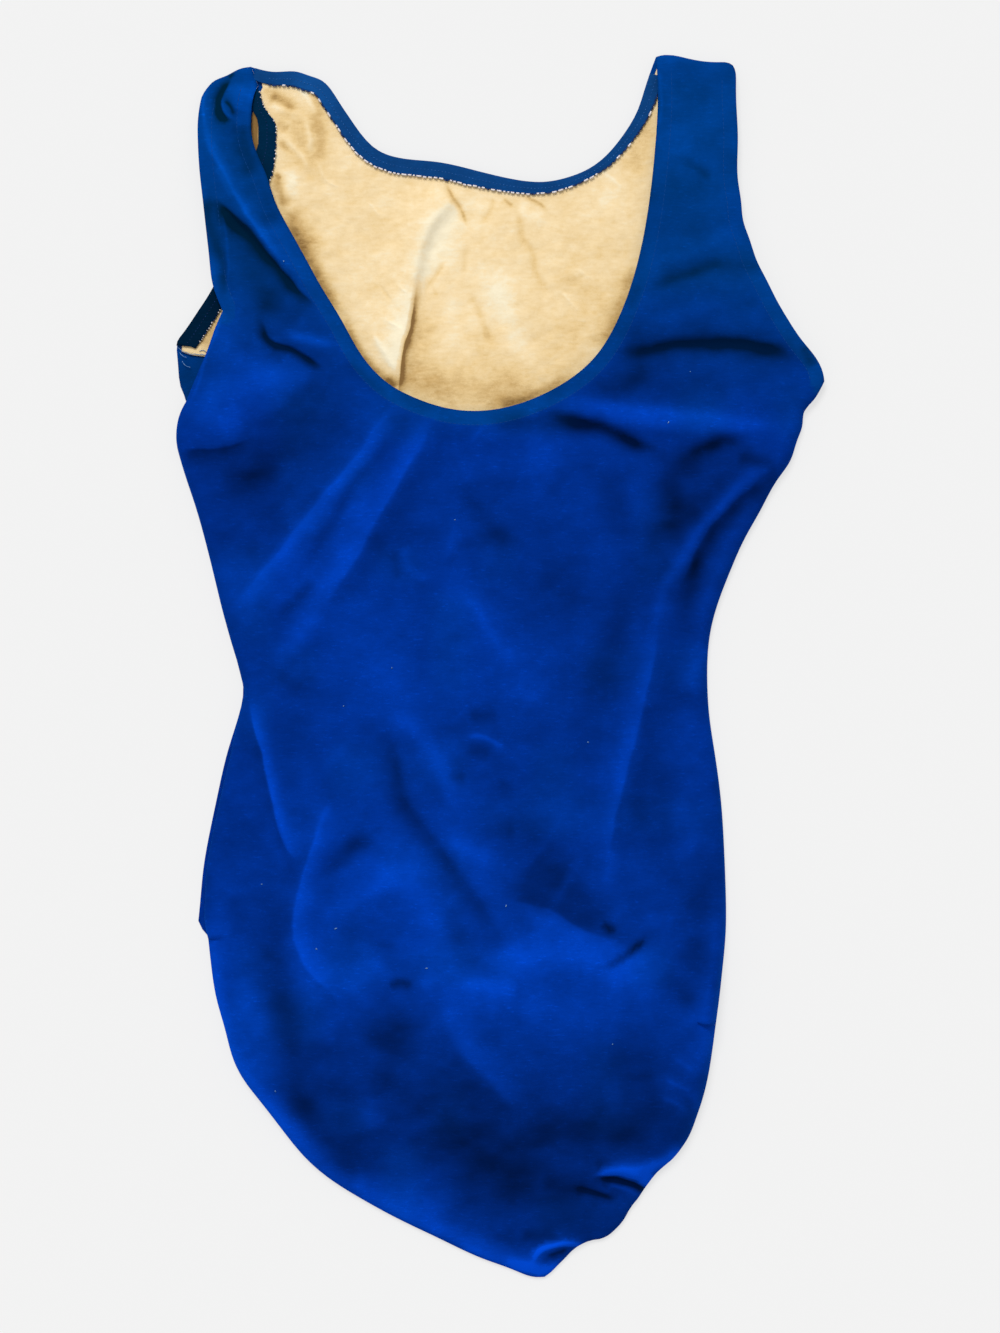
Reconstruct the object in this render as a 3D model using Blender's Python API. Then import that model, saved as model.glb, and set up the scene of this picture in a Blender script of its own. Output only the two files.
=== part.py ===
# Tank leotard laid flat on a table, its back uppermost and its straps towards +Y.
# The front panel lies flat on the table with its lining on it, and the back panel lies over both.
# The script works in metres. The tables are drawn in millimetres and scaled by DRAWN.

import bmesh
import bpy
import numpy as np
from mathutils.geometry import delaunay_2d_cdt

# Driving dimensions
LENGTH = 0.734  # strap top to crotch, laid flat
DRAWN_LENGTH = 734.0  # the same length in the tables below
DRAWN = LENGTH / DRAWN_LENGTH
TABLES_MIDDLE = (0.5, -0.9)  # middle of the drawn outline, which is put at the origin
CLOTH = 0.0010  # wall of the blue cotton jersey
LINING = 0.0010  # wall of the brushed lining
HEM = 0.0012  # turned edge with its elastic
SEAM_GAP = 0.0003  # between pieces that are sewn together
HEM_WIDTH = 0.0095
SLOPE_ALLOWANCE = 1.25  # a sloping wall is deeper, measured straight down
BACK_STEP = 0.0100  # spacing of the sections and of the points along each
FRONT_STEP = 0.0240
EDGE_STEP = 0.0090
ROLL_RINGS = (0.0010, 0.0035)  # rings of points that round a closed edge
ROLL = 0.0080  # how far in from a closed edge the cloth has turned level
LEG_ROLL = 0.0180
CALM = 0.016  # an elastic edge holds folds down this far in
CALM_SHARE = 0.35
FOLD_STEP = 0.0040  # points along a fold, from which its height is read
FOLD_LEAD = 0.08  # share of its length that a fold reaches past its ends
FOLD_TAPER = 0.30  # share of its length over which a fold rises
LINING_FADE = (0.008, 0.014)  # where the lining's folds start, in from its edge, and their rise
EDGE_CLEAR = 0.0068  # inner points keep this far from the outline
HEM_CLEAR = 0.0030  # and this far from a hem's inner line
FOLD_SPREAD = 0.0045  # least distance between points of folds, of sections and of the lining
SECTION_SPREAD = 0.0066
LINING_SPREAD = 0.0052
LINING_INSET = 0.0030  # the lining ends this far inside the front's edge
LINING_CLEAR = 0.0050
HEM_SETBACK = 0.02  # share of its width that a hem stands back from the panel's edge

# Levels of the layers above the table
FRONT_TOP = CLOTH
LINING_FLOOR = FRONT_TOP + SEAM_GAP
LINING_TOP = LINING_FLOOR + LINING
SEAM_BASE = FRONT_TOP + SEAM_GAP
LEG_BASE = HEM + SEAM_GAP
FOLD_BASE = 0.0003

# Edges of the panels, each from one corner to the next: columns x, y
EDGES = {
    "neck_back": [
        (94, 365), (95, 340), (94, 318), (90, 279), (86, 255), (80, 231), (71, 207),
        (56, 183), (42, 171), (24, 161), (3, 154), (-13, 152), (-33, 154), (-51, 160),
        (-66, 168), (-76, 177), (-85, 189), (-95, 207), (-106, 225), (-116, 243),
        (-126, 261), (-135, 279), (-140, 294), (-146, 308), (-149, 320), (-149, 330),
        (-148, 339), (-145, 348),
    ],
    "shoulder_left": [(-145, 348), (-147, 353), (-149, 359)],
    "left_fold": [(-149, 359), (-156, 358), (-164, 354), (-171, 351), (-176, 346), (-179, 341)],
    "armhole_left_back": [
        (-179, 341), (-181, 327), (-181, 314), (-180, 297), (-178, 279), (-176, 261),
        (-174, 243), (-172, 228), (-169, 219), (-166, 212),
    ],
    "tuck_left": [(-166, 212), (-170, 203), (-175, 189), (-180, 177), (-185, 165), (-188, 158)],
    "side_left": [
        (-188, 158), (-192, 150), (-194, 141), (-194, 133), (-192, 124), (-188, 111),
        (-183, 96), (-177, 75), (-171, 51), (-165, 27), (-158, 3), (-153, -17),
    ],
    "hip_left": [
        (-153, -17), (-156, -28), (-161, -51), (-168, -81), (-173, -105), (-176, -123),
        (-177, -141), (-177, -156), (-175, -165),
    ],
    "leg_left": [
        (-175, -165), (-173, -183), (-170, -201), (-165, -219), (-160, -237), (-154, -249),
        (-145, -261), (-131, -279), (-116, -297), (-102, -309), (-83, -321), (-61, -333),
        (-36, -345), (-10, -357), (9, -364), (21, -368), (27, -368),
    ],
    "crotch": [
        (27, -368), (31, -365), (35, -361), (40, -356), (45, -351), (50, -348), (55, -346),
        (61, -345), (70, -339), (75, -333), (79, -326), (83, -321), (87, -315), (90, -311),
    ],
    "leg_right": [
        (90, -311), (93, -307), (97, -303), (104, -297), (109, -291), (114, -283),
        (118, -273), (122, -261), (125, -249), (128, -231), (130, -216),
    ],
    "side_right": [
        (130, -216), (132, -201), (134, -183), (136, -159), (136, -138), (135, -111),
        (133, -81), (129, -51), (126, -30), (125, -15), (125, 3), (127, 21), (132, 39),
        (139, 57), (147, 75), (157, 93), (167, 111), (175, 123), (179, 135), (182, 144),
        (183, 152), (188, 158), (192, 164), (195, 170),
    ],
    "armhole_right": [
        (195, 170), (194, 175), (191, 182), (181, 195), (173, 207), (166, 219), (160, 231),
        (154, 243), (150, 255), (146, 267), (145, 277), (143, 291), (143, 315), (142, 339),
        (142, 355),
    ],
    "shoulder_right": [(142, 355), (140, 360), (130, 362), (114, 364), (98, 366), (94, 365)],
    "neck_front": [
        (94, 365), (91, 357), (87, 345), (83, 333), (80, 327), (72, 315), (61, 303),
        (52, 297), (42, 293), (27, 290), (6, 292), (-15, 297), (-38, 302), (-63, 305),
        (-73, 309), (-80, 315), (-89, 327), (-97, 339), (-107, 351), (-115, 354),
        (-121, 356), (-135, 356), (-149, 359),
    ],
    "armhole_left_front": [
        (-145, 348), (-147, 339), (-147, 330), (-146, 321), (-146, 310), (-149, 294),
        (-157, 270), (-164, 249), (-172, 227), (-182, 211), (-191, 198), (-194, 193),
        (-194, 189),
    ],
    "side_left_front": [
        (-194, 189), (-193, 177), (-191, 165), (-188, 157), (-190, 150), (-193, 141),
        (-194, 133), (-192, 124), (-188, 111), (-183, 96), (-177, 75), (-171, 51),
        (-165, 27), (-158, 3), (-154, -15), (-156, -28), (-163, -51), (-170, -81),
        (-175, -105), (-178, -123), (-180, -144), (-181, -154),
    ],
    "leg_left_front": [
        (-181, -154), (-178, -160), (-172, -166), (-156, -186), (-120, -228), (-72, -276),
        (-24, -318), (10, -346), (27, -368),
    ],
    "leg_right_front": [
        (90, -311), (93, -292), (101, -270), (112, -246), (122, -230), (130, -216),
    ],
    "lining_lower": [
        (-191, 188), (-185, 186), (-177, 185), (-168, 182), (-162, 172), (-157, 158),
        (-150, 145), (-136, 134),
        (-100, 128), (-12, 125), (50, 133), (84, 152), (104, 184), (114, 220), (120, 262),
        (123, 310), (123, 345), (118, 352), (104, 355),
    ],
}

BACK_LOOP = (
    ("neck_back", 1), ("shoulder_left", 1), ("left_fold", 1), ("armhole_left_back", 1),
    ("tuck_left", 1), ("side_left", 1), ("hip_left", 1), ("leg_left", 1), ("crotch", 1),
    ("leg_right", 1), ("side_right", 1), ("armhole_right", 1), ("shoulder_right", 1),
)
FRONT_LOOP = (
    ("neck_front", 1), ("shoulder_left", -1), ("armhole_left_front", 1),
    ("side_left_front", 1), ("leg_left_front", 1), ("crotch", 1), ("leg_right_front", 1),
    ("side_right", 1), ("armhole_right", 1), ("shoulder_right", 1),
)
OPEN_EDGES = ("neck_back", "armhole_left_back", "tuck_left", "armhole_right")
LEG_EDGES = ("leg_left", "crotch", "leg_right")

# Height of the back panel's outer face along the length: columns station, left, middle, right
SECTIONS = [
    (368, 4.0, 7.5, 7.0), (345, 4.5, 7.5, 7.2), (320, 6.5, 8.0, 7.2), (290, 8.0, 8.5, 7.4),
    (240, 8.5, 9.5, 7.6), (190, 8.8, 10.0, 8.2), (140, 9.0, 10.4, 9.0), (80, 8.6, 10.6, 9.2),
    (20, 8.4, 10.6, 9.0), (-30, 7.6, 10.8, 9.0), (-80, 6.6, 11.8, 9.2), (-130, 7.0, 13.6, 10.0),
    (-175, 8.6, 18.5, 13.0), (-215, 10.0, 23.5, 16.5), (-250, 10.2, 22.0, 16.0),
    (-285, 9.0, 16.5, 12.5), (-315, 7.5, 10.5, 9.5), (-345, 6.0, 6.8, 6.8), (-370, 5.0, 5.5, 5.5),
]

# Corners where a closed edge meets an open one: columns x, y, lift, reach
CORNER_LIFTS = [
    (195, 170, 4.6, 20), (-188, 158, 4.6, 16), (94, 365, 1.5, 6), (142, 355, 1.5, 6),
    (-145, 348, 1.5, 6), (-149, 359, 1.9, 5), (-179, 341, 2.0, 8),
]

# Largest folds of the back panel: columns name, height, width on the left of its run, width on
# the right, points along its crest
BACK_FOLDS = [
    ("hip_step", 5.5, 34, 5, [(-153, -18), (-143, -48), (-134, -81), (-125, -111), (-117, -132)]),
    ("seat_curl", 3.0, 12, 10, [(-102, -84), (-110, -104), (-118, -128), (-122, -156), (-118, -180), (-106, -198)]),
    ("chest_left", 3.4, 16, 22, [(-110, 165), (-128, 154), (-146, 139), (-170, 131), (-190, 130)]),
    ("drag_upper", 3.0, 9, 11, [(-58, 151), (-80, 122), (-103, 91), (-125, 62), (-152, 39)]),
    ("drag_lower", 2.6, 9, 10, [(-37, 147), (-52, 117), (-72, 84), (-96, 48), (-117, 18), (-133, -3)]),
    ("side_ridge", 4.2, 10, 17, [(170, 125), (147, 109), (123, 78), (105, 42), (93, 3), (84, -36), (75, -75), (67, -112), (64, -142)]),
    ("side_trough", -2.8, 9, 9, [(165, 117), (141, 93), (122, 63), (110, 33), (105, 6)]),
    ("chest_right", 3.4, 14, 7, [(30, 152), (60, 148), (96, 142), (132, 141), (172, 144)]),
    ("armhole_trough", -2.4, 6, 8, [(70, 186), (108, 189), (144, 190), (176, 184)]),
    ("strap_crease", -1.2, 6, 6, [(94, 228), (114, 237), (134, 242)]),
    ("strap_band", 3.0, 7, 5, [(-178, 322), (-166, 294), (-152, 268), (-132, 246), (-112, 224)]),
    ("strap_trough", -3.2, 5, 8, [(-163, 270), (-150, 255), (-134, 238), (-113, 220)]),
    ("strap_scrunch", 4.0, 8, 6, [(-148, 346), (-158, 338), (-164, 330), (-160, 316)]),
    ("chest_crease", -2.2, 5, 5, [(-140, 200), (-129, 192), (-112, 182), (-100, 176)]),
    ("middle_trough", -2.4, 9, 8, [(-74, -42), (-60, -72), (-45, -102), (-28, -130), (-15, -146)]),
    ("seat_hollow", -3.6, 18, 16, [(18, -106), (34, -126), (50, -146), (68, -158)]),
    ("seat_ridge_left", 2.2, 12, 12, [(-62, -196), (-40, -214), (-18, -240), (-4, -262)]),
    ("leg_pucker", 3.4, 9, 4, [(58, -303), (74, -302), (87, -308)]),
    ("leg_crease", -2.0, 5, 5, [(48, -312), (60, -317), (72, -323)]),
    ("crotch_curl", 2.6, 5, 3, [(22, -361), (30, -352), (42, -347), (54, -347)]),
]

# Folds of the lining inside the neck: same columns
LINING_FOLDS = [
    ("centre_pleat", 4.4, 5, 17, [(-24, 284), (-42, 264), (-51, 236), (-55, 212), (-60, 186), (-62, 168)]),
    ("right_wave", 1.6, 12, 12, [(2, 280), (-2, 250), (8, 222), (26, 196)]),
]

# Width of the front neck hem from the right strap to the left: columns share of the edge, width
NECK_FRONT_WIDTHS = [(0.0, 9.5), (0.14, 7.0), (0.26, 5.2), (0.36, 7.2), (0.5, 9.8), (1.0, 9.5)]

# Hems: columns name, edge, run direction, the layer that it lies on, gap at its start and at its end
HEMS = [
    ("neck_hem_back", "neck_back", 1, "under_back", 8.5, 4.0),
    ("neck_hem_front", "neck_front", 1, "on_lining", 8.5, 1.0),
    ("armhole_hem_left_back", "armhole_left_back", 1, "under_back", 6.0, 1.0),
    ("armhole_hem_left_front", "armhole_left_front", 1, "on_lining", 3.0, 1.5),
    ("armhole_hem_right_back", "armhole_right", 1, "under_back", 6.0, 8.5),
    ("armhole_hem_right_front", "armhole_right", 1, "on_front", 2.0, 8.5),
    ("leg_hem_left_back", "leg_left", 1, "on_table", 17.0, 36.0),
    ("leg_hem_left_front", "leg_left_front", 1, "on_front", 14.0, 10.0),
    ("leg_hem_right_back", "leg_right", 1, "on_table", 24.0, 26.0),
    ("leg_hem_right_front", "leg_right_front", 1, "on_front", 12.0, 12.0),
]


def curve_values(at, knots, values):
    """A natural cubic curve through the values, read where asked."""
    steps = np.diff(knots)
    slopes = np.diff(values, axis=0) / steps[:, None]
    size = len(knots)
    matrix = np.eye(size)
    right = np.zeros_like(values)
    for i in range(1, size - 1):
        matrix[i, i - 1 : i + 2] = steps[i - 1], 2 * (steps[i - 1] + steps[i]), steps[i]
        right[i] = 6 * (slopes[i] - slopes[i - 1])
    bends = np.linalg.solve(matrix, right)
    k = np.clip(np.searchsorted(knots, at) - 1, 0, size - 2)
    h = steps[k][:, None]
    a = (knots[k + 1] - at)[:, None] / h
    b = 1 - a
    cubic = (a**3 - a) * bends[k] + (b**3 - b) * bends[k + 1]
    return a * values[k] + b * values[k + 1] + cubic * h**2 / 6


def smooth_line(rows, step):
    """Points about one step apart on a smooth curve through the rows of a table, in metres."""
    corners = np.array(rows, float) * DRAWN
    lengths = np.linalg.norm(np.diff(corners, axis=0), axis=1)
    knots = np.concatenate([[0], np.cumsum(lengths)])
    fine = np.linspace(0, knots[-1], 40 * len(rows))
    dense = curve_values(fine, knots, corners) if len(rows) > 2 else corners
    return spaced(dense, step)


def spaced(line, step):
    """The line again, with points evenly spaced about one step apart."""
    lengths = np.linalg.norm(np.diff(line, axis=0), axis=1)
    along = np.concatenate([[0], np.cumsum(lengths)])
    at = np.linspace(0, along[-1], max(2, round(along[-1] / step) + 1))
    return np.stack([np.interp(at, along, line[:, k]) for k in range(line.shape[1])], axis=1)


def edge_line(name, step, way=1):
    return smooth_line(EDGES[name], step)[::way]


def joined_loop(loop, step):
    """One closed run of points round a panel, and the name of the edge that each starts on."""
    points, names = [], []
    for name, way in loop:
        line = edge_line(name, step, way)
        points.append(line[:-1])
        names += [name] * (len(line) - 1)
    return np.concatenate(points), names


def nearest(points, line):
    """Distance of each point to a line, the share of its length there, and how far it is left, -1 to 1."""
    starts, runs = line[:-1], np.diff(line, axis=0)
    lengths = np.linalg.norm(runs, axis=1)
    along = np.concatenate([[0], np.cumsum(lengths)])
    offset = points[:, None] - starts[None]
    share = np.clip((offset * runs).sum(2) / lengths**2, 0, 1)
    gaps = offset - share[..., None] * runs
    distance = np.linalg.norm(gaps, axis=2)
    best = distance.argmin(axis=1)
    rows = np.arange(len(points))
    run, gap = runs[best], offset[rows, best]
    across = (run[:, 0] * gap[:, 1] - run[:, 1] * gap[:, 0]) / lengths[best]
    away = distance[rows, best]
    place = (along[best] + share[rows, best] * lengths[best]) / along[-1]
    return away, place, across / np.maximum(away, 1e-9)


def ease(t):
    t = np.clip(t, 0, 1)
    return t * t * (3 - 2 * t)


def inside(points, loop):
    """Which points lie inside a closed loop."""
    x, y = points[:, :1], points[:, 1:]
    ax, ay = loop[:, 0], loop[:, 1]
    bx, by = np.roll(ax, -1), np.roll(ay, -1)
    spans = (ay > y) != (by > y)
    rise = np.where(by == ay, 1, by - ay)
    crossing = ax + (y - ay) / rise * (bx - ax)
    return ((spans & (x < crossing)).sum(axis=1) % 2) == 1


def inset_line(line, widths):
    """A line moved to its left by the width at each point."""
    run = np.gradient(line, axis=0)
    run /= np.linalg.norm(run, axis=1)[:, None]
    side = np.stack([-run[:, 1], run[:, 0]], axis=1)
    return line + side * np.reshape(widths, (-1, 1))


def section_points(loop, step):
    """Points on level sections across a panel, each from one edge to the other, staggered."""
    low, high = loop.min(axis=0), loop.max(axis=0)
    rise = step * 0.87
    rows = []
    for i, station in enumerate(np.arange(low[1] + rise / 2, high[1], rise)):
        across = np.arange(low[0] + (i % 2) * step / 2, high[0], step)
        rows.append(np.stack([across, np.full_like(across, station)], axis=1))
    return np.concatenate(rows)


def thinned(points, kept, distance):
    """The points that are further than the distance from every kept one."""
    gaps = np.linalg.norm(points[:, None] - kept[None], axis=2)
    return points[gaps.min(axis=1) > distance]


def fold_points(folds, step):
    """Points along each fold's crest and both of its feet."""
    found = []
    for _, _, left, right, rows in folds:
        crest = smooth_line(rows, step)
        feet = [inset_line(crest, left * DRAWN), inset_line(crest, -right * DRAWN)]
        found += [crest, *feet]
    return np.concatenate(found)


def fold_height(points, folds):
    """How far the folds raise or lower each point."""
    height = np.zeros(len(points))
    for _, rise, left, right, rows in folds:
        line = smooth_line(rows, FOLD_STEP)
        distance, place, side = nearest(points, line)
        width = (right + (left - right) * ease(0.5 + 0.5 * side)) * DRAWN
        taper = ease((place + FOLD_LEAD) / FOLD_TAPER) * ease((1 + FOLD_LEAD - place) / FOLD_TAPER)
        height += rise * DRAWN * taper * np.exp(-((distance / width) ** 2))
    return height


def section_height(points, loop):
    """Height of the back panel before its folds, read across each section."""
    table = np.array(SECTIONS[::-1], float) * DRAWN
    rows = curve_values(points[:, 1], table[:, 0], table[:, 1:])
    low, high = loop.min(axis=0)[0], loop.max(axis=0)[0]
    across = np.clip((points[:, 0] - low) / (high - low), 0, 1)
    middle = 1 - np.abs(2 * across - 1) ** 2
    sides = np.where(across < 0.5, rows[:, 0], rows[:, 2])
    return sides * (1 - middle) + rows[:, 1] * middle


def back_height(points, loop):
    """Height of the back panel's outer face above the table."""
    level = section_height(points, loop)
    folds = fold_height(points, BACK_FOLDS)
    hemmed = np.full(len(points), 1.0)
    for name in OPEN_EDGES:
        hemmed = np.minimum(hemmed, nearest(points, edge_line(name, EDGE_STEP))[0])
    calm = CALM_SHARE + (1 - CALM_SHARE) * ease(hemmed / CALM)
    closeness, base, roll = np.full(len(points), 1.0), np.zeros(len(points)), np.ones(len(points))
    for name, _ in BACK_LOOP:
        if name in OPEN_EDGES:
            continue
        distance = nearest(points, edge_line(name, EDGE_STEP))[0]
        nearer = distance < closeness
        closeness = np.where(nearer, distance, closeness)
        floor = LEG_BASE if name in LEG_EDGES else SEAM_BASE
        base = np.where(nearer, FOLD_BASE if name == "left_fold" else floor, base)
        roll = np.where(nearer, LEG_ROLL if name in LEG_EDGES else ROLL, roll)
    for x, y, lift, reach in np.array(CORNER_LIFTS) * DRAWN:
        away = np.linalg.norm(points - (x, y), axis=1)
        base = base + lift * np.exp(-((away / reach) ** 2))
    turned = np.sqrt(1 - (1 - np.clip(closeness / roll, 0, 1)) ** 2)
    return base + (level + folds * calm - base) * turned


def lining_height(points, loop):
    """Height of the lining's upper face above the table."""
    distance = nearest(points, np.concatenate([loop, loop[:1]]))[0]
    start, rise = LINING_FADE
    return LINING_TOP + fold_height(points, LINING_FOLDS) * ease((distance - start) / rise)


def triangulated(loop, inner):
    """Triangles over a closed loop and the points inside it."""
    points = [tuple(p) for p in np.concatenate([loop, inner])]
    ring = list(range(len(loop)))
    edges = [(i, (i + 1) % len(ring)) for i in ring]
    verts, _, faces, _, _, _ = delaunay_2d_cdt(points, edges, [ring], 1, 1e-7)
    return np.array([tuple(v) for v in verts]), [tuple(f) for f in faces]


def shade_round(mesh):
    mesh.shade_smooth()
    mesh.set_sharp_from_angle(angle=0.8)


def new_object(name, verts, faces, material):
    """A closed solid as one named object, its faces turned outwards."""
    mesh = bpy.data.meshes.new(name)
    mesh.from_pydata([tuple(v) for v in verts], [], faces)
    solid = bmesh.new()
    solid.from_mesh(mesh)
    bmesh.ops.recalc_face_normals(solid, faces=solid.faces)
    bmesh.ops.triangulate(solid, faces=solid.faces)
    solid.to_mesh(mesh)
    solid.free()
    shade_round(mesh)
    mesh.materials.append(material)
    made = bpy.data.objects.new(name, mesh)
    bpy.context.scene.collection.objects.link(made)
    made.parent = bpy.data.objects["leotard"]
    return made


def face_normals(points, faces):
    """The averaged normal at each point of an open sheet."""
    corners = points[np.array(faces)]
    cross = np.cross(corners[:, 1] - corners[:, 0], corners[:, 2] - corners[:, 0])
    cross[cross[:, 2] < 0] *= -1
    normals = np.zeros_like(points)
    for k in range(3):
        np.add.at(normals, np.array(faces)[:, k], cross)
    return normals / np.linalg.norm(normals, axis=1)[:, None]


def rim_edges(faces):
    """Edges that only one face uses, in the direction that it runs."""
    seen = {}
    for face in faces:
        for a, b in zip(face, face[1:] + face[:1]):
            seen[(min(a, b), max(a, b))] = (a, b) if (min(a, b), max(a, b)) not in seen else None
    return [edge for edge in seen.values() if edge]


def wall(name, plan, faces, heights, thickness, material, upright=None):
    """A sheet of cloth with a thickness: the outer face, the inner face below it, and the rim."""
    outer = np.column_stack([plan, heights])
    normals = face_normals(outer, faces)
    rim = rim_edges(faces)
    on_rim = sorted({v for edge in rim for v in edge})
    normals[on_rim] = (0, 0, 1)
    if upright is not None:
        for v, direction in upright(plan, rim).items():
            normals[v] = direction
    inner = outer - normals * thickness
    count = len(plan)
    under = [tuple(count + v for v in reversed(face)) for face in faces]
    sides = [(b, a, a + count, b + count) for a, b in rim]
    return new_object(name, np.concatenate([outer, inner]), [*faces, *under, *sides], material)


def closed_rim_directions(plan, rim):
    """At a closed edge the wall stands upright, so its thickness is taken level and inwards."""
    outward = {}
    for a, b in rim:
        run = plan[b] - plan[a]
        side = np.array([run[1], -run[0]]) / np.linalg.norm(run)
        for v in (a, b):
            outward[v] = outward.get(v, 0) + side
    found = {}
    open_line = [edge_line(name, EDGE_STEP) for name in OPEN_EDGES]
    for v, side in outward.items():
        closest = min(nearest(plan[v : v + 1], line)[0][0] for line in open_line)
        if closest > 0.0005:
            found[v] = (*(side / np.linalg.norm(side)), 0.0)
    return found


def hem_plan(row):
    """The outer and inner lines of a hem, station by station."""
    name, edge, way, _, start_gap, end_gap = row
    line = edge_line(edge, EDGE_STEP, way)
    along = np.concatenate([[0], np.cumsum(np.linalg.norm(np.diff(line, axis=0), axis=1))])
    kept = (along > start_gap * DRAWN) & (along < along[-1] - end_gap * DRAWN)
    widths = np.full(len(line), HEM_WIDTH)
    if name == "neck_hem_front":
        table = np.array(NECK_FRONT_WIDTHS)
        widths = np.interp(along / along[-1], table[:, 0], table[:, 1] * DRAWN)
    return line[kept], inset_line(line, widths)[kept]


def hem_levels(row, outer, inner, back_loop):
    """Upper-face heights of a hem at its outer and inner lines."""
    layer = row[3]
    if layer == "under_back":
        drop = CLOTH * SLOPE_ALLOWANCE + SEAM_GAP
        return [back_height(line, back_loop) - drop for line in (outer, inner)]
    floor = {"on_table": 0, "on_front": FRONT_TOP + SEAM_GAP, "on_lining": LINING_TOP + SEAM_GAP}
    return [np.full(len(line), floor[layer] + HEM) for line in (outer, inner)]


def hem(row, back_loop, material):
    """A hem: a strip of sections along a panel's edge, its points taken from that panel."""
    outer, inner = hem_plan(row)
    tops = hem_levels(row, outer, inner, back_loop)
    outer = outer + (inner - outer) * HEM_SETBACK
    rings = []
    for level in (0, 1):
        for line, top in zip((outer, inner), tops):
            rings.append(np.column_stack([line, top - level * HEM]))
    count = len(outer)
    verts = np.concatenate(rings)
    ring_order = (0, 1, 3, 2)
    faces = []
    for i in range(count - 1):
        for k in range(4):
            a, b = ring_order[k] * count, ring_order[(k + 1) % 4] * count
            faces.append((a + i, a + i + 1, b + i + 1, b + i))
    for i in (0, count - 1):
        faces.append(tuple(k * count + i for k in ring_order))
    return new_object(row[0], verts, faces, material)


def hem_points(edges):
    """Inner-line points of the hems along these edges, so that panel and hem share them."""
    found = [hem_plan(row)[1] for row in HEMS if row[1] in edges and row[3] == "under_back"]
    return np.concatenate(found)


def back_panel(material):
    """The back, from the straps to the crotch, with its low scoop and its largest folds."""
    loop, _ = joined_loop(BACK_LOOP, EDGE_STEP)
    closed = np.concatenate([loop, loop[:1]])
    hems = hem_points(OPEN_EDGES)
    rings = []
    for depth in ROLL_RINGS:
        for name, way in BACK_LOOP:
            if name in OPEN_EDGES:
                continue
            ring = inset_line(edge_line(name, EDGE_STEP, way), depth)
            gap = nearest(ring, closed)[0]
            rings.append(ring[(gap > 0.9 * depth) & inside(ring, loop)])
    rings = np.concatenate(rings)
    kept = np.concatenate([hems[inside(hems, loop)], rings])
    for extra, spread in (
        (fold_points(BACK_FOLDS, BACK_STEP), FOLD_SPREAD),
        (section_points(loop, BACK_STEP), SECTION_SPREAD),
    ):
        extra = extra[inside(extra, loop)]
        extra = extra[nearest(extra, closed)[0] > EDGE_CLEAR]
        for name in ("neck_back", "armhole_left_back", "armhole_right"):
            extra = extra[nearest(extra, edge_line(name, EDGE_STEP))[0] > HEM_WIDTH + HEM_CLEAR]
        chosen = []
        for point in extra:
            row = point[None]
            if len(thinned(row, kept, spread)) and (
                not chosen or len(thinned(row, np.array(chosen), spread))
            ):
                chosen.append(point)
        kept = np.concatenate([kept, np.array(chosen)])
    plan, faces = triangulated(loop, kept)
    heights = back_height(plan, loop)
    return wall("back_panel", plan, faces, heights, CLOTH, material, closed_rim_directions)


def front_panel(material):
    """The front: higher at the neck and cut higher at the legs, flat on the table."""
    loop, _ = joined_loop(FRONT_LOOP, EDGE_STEP)
    inner = section_points(loop, FRONT_STEP)
    inner = inner[inside(inner, loop)]
    inner = inner[nearest(inner, np.concatenate([loop, loop[:1]]))[0] > FRONT_STEP / 3]
    plan, faces = triangulated(loop, inner)
    return wall("front_panel", plan, faces, np.full(len(plan), FRONT_TOP), CLOTH, material)


def front_lining(material):
    """The lining, where the neck and the left armhole show it, and a little past them."""
    neck = inset_line(edge_line("neck_front", EDGE_STEP), LINING_INSET)
    armhole = inset_line(edge_line("armhole_left_front", EDGE_STEP), LINING_INSET)
    lower = edge_line("lining_lower", EDGE_STEP)
    loop = np.concatenate([neck[1:-2], armhole[1:-1], lower])
    inner = np.concatenate(
        [fold_points(LINING_FOLDS, BACK_STEP), section_points(loop, 1.2 * BACK_STEP)]
    )
    inner = inner[inside(inner, loop)]
    inner = inner[nearest(inner, np.concatenate([loop, loop[:1]]))[0] > LINING_CLEAR]
    chosen = []
    for point in inner:
        if not chosen or len(thinned(point[None], np.array(chosen), LINING_SPREAD)):
            chosen.append(point)
    plan, faces = triangulated(loop, np.array(chosen))
    return wall("front_lining", plan, faces, lining_height(plan, loop), LINING, material)


def cloth_material(name, colour, roughness):
    material = bpy.data.materials.new(name)
    material.use_nodes = True
    shader = material.node_tree.nodes["Principled BSDF"]
    shader.inputs["Base Color"].default_value = (*colour, 1)
    shader.inputs["Roughness"].default_value = roughness
    shader.inputs["Metallic"].default_value = 0.0
    return material


def clear_scene():
    for old in list(bpy.data.objects):
        bpy.data.objects.remove(old)


def main():
    clear_scene()
    root = bpy.data.objects.new("leotard", None)
    root.location = (-TABLES_MIDDLE[0] * DRAWN, -TABLES_MIDDLE[1] * DRAWN, 0)
    bpy.context.scene.collection.objects.link(root)
    jersey = cloth_material("blue_jersey", (0.002, 0.040, 0.300), 0.85)
    brushed = cloth_material("brushed_lining", (0.85, 0.68, 0.40), 0.95)
    turned = cloth_material("turned_hem", (0.003, 0.050, 0.230), 0.80)
    back_panel(jersey)
    front_panel(jersey)
    front_lining(brushed)
    back_loop, _ = joined_loop(BACK_LOOP, EDGE_STEP)
    for row in HEMS:
        hem(row, back_loop, turned)


main()
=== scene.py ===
import math

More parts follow.
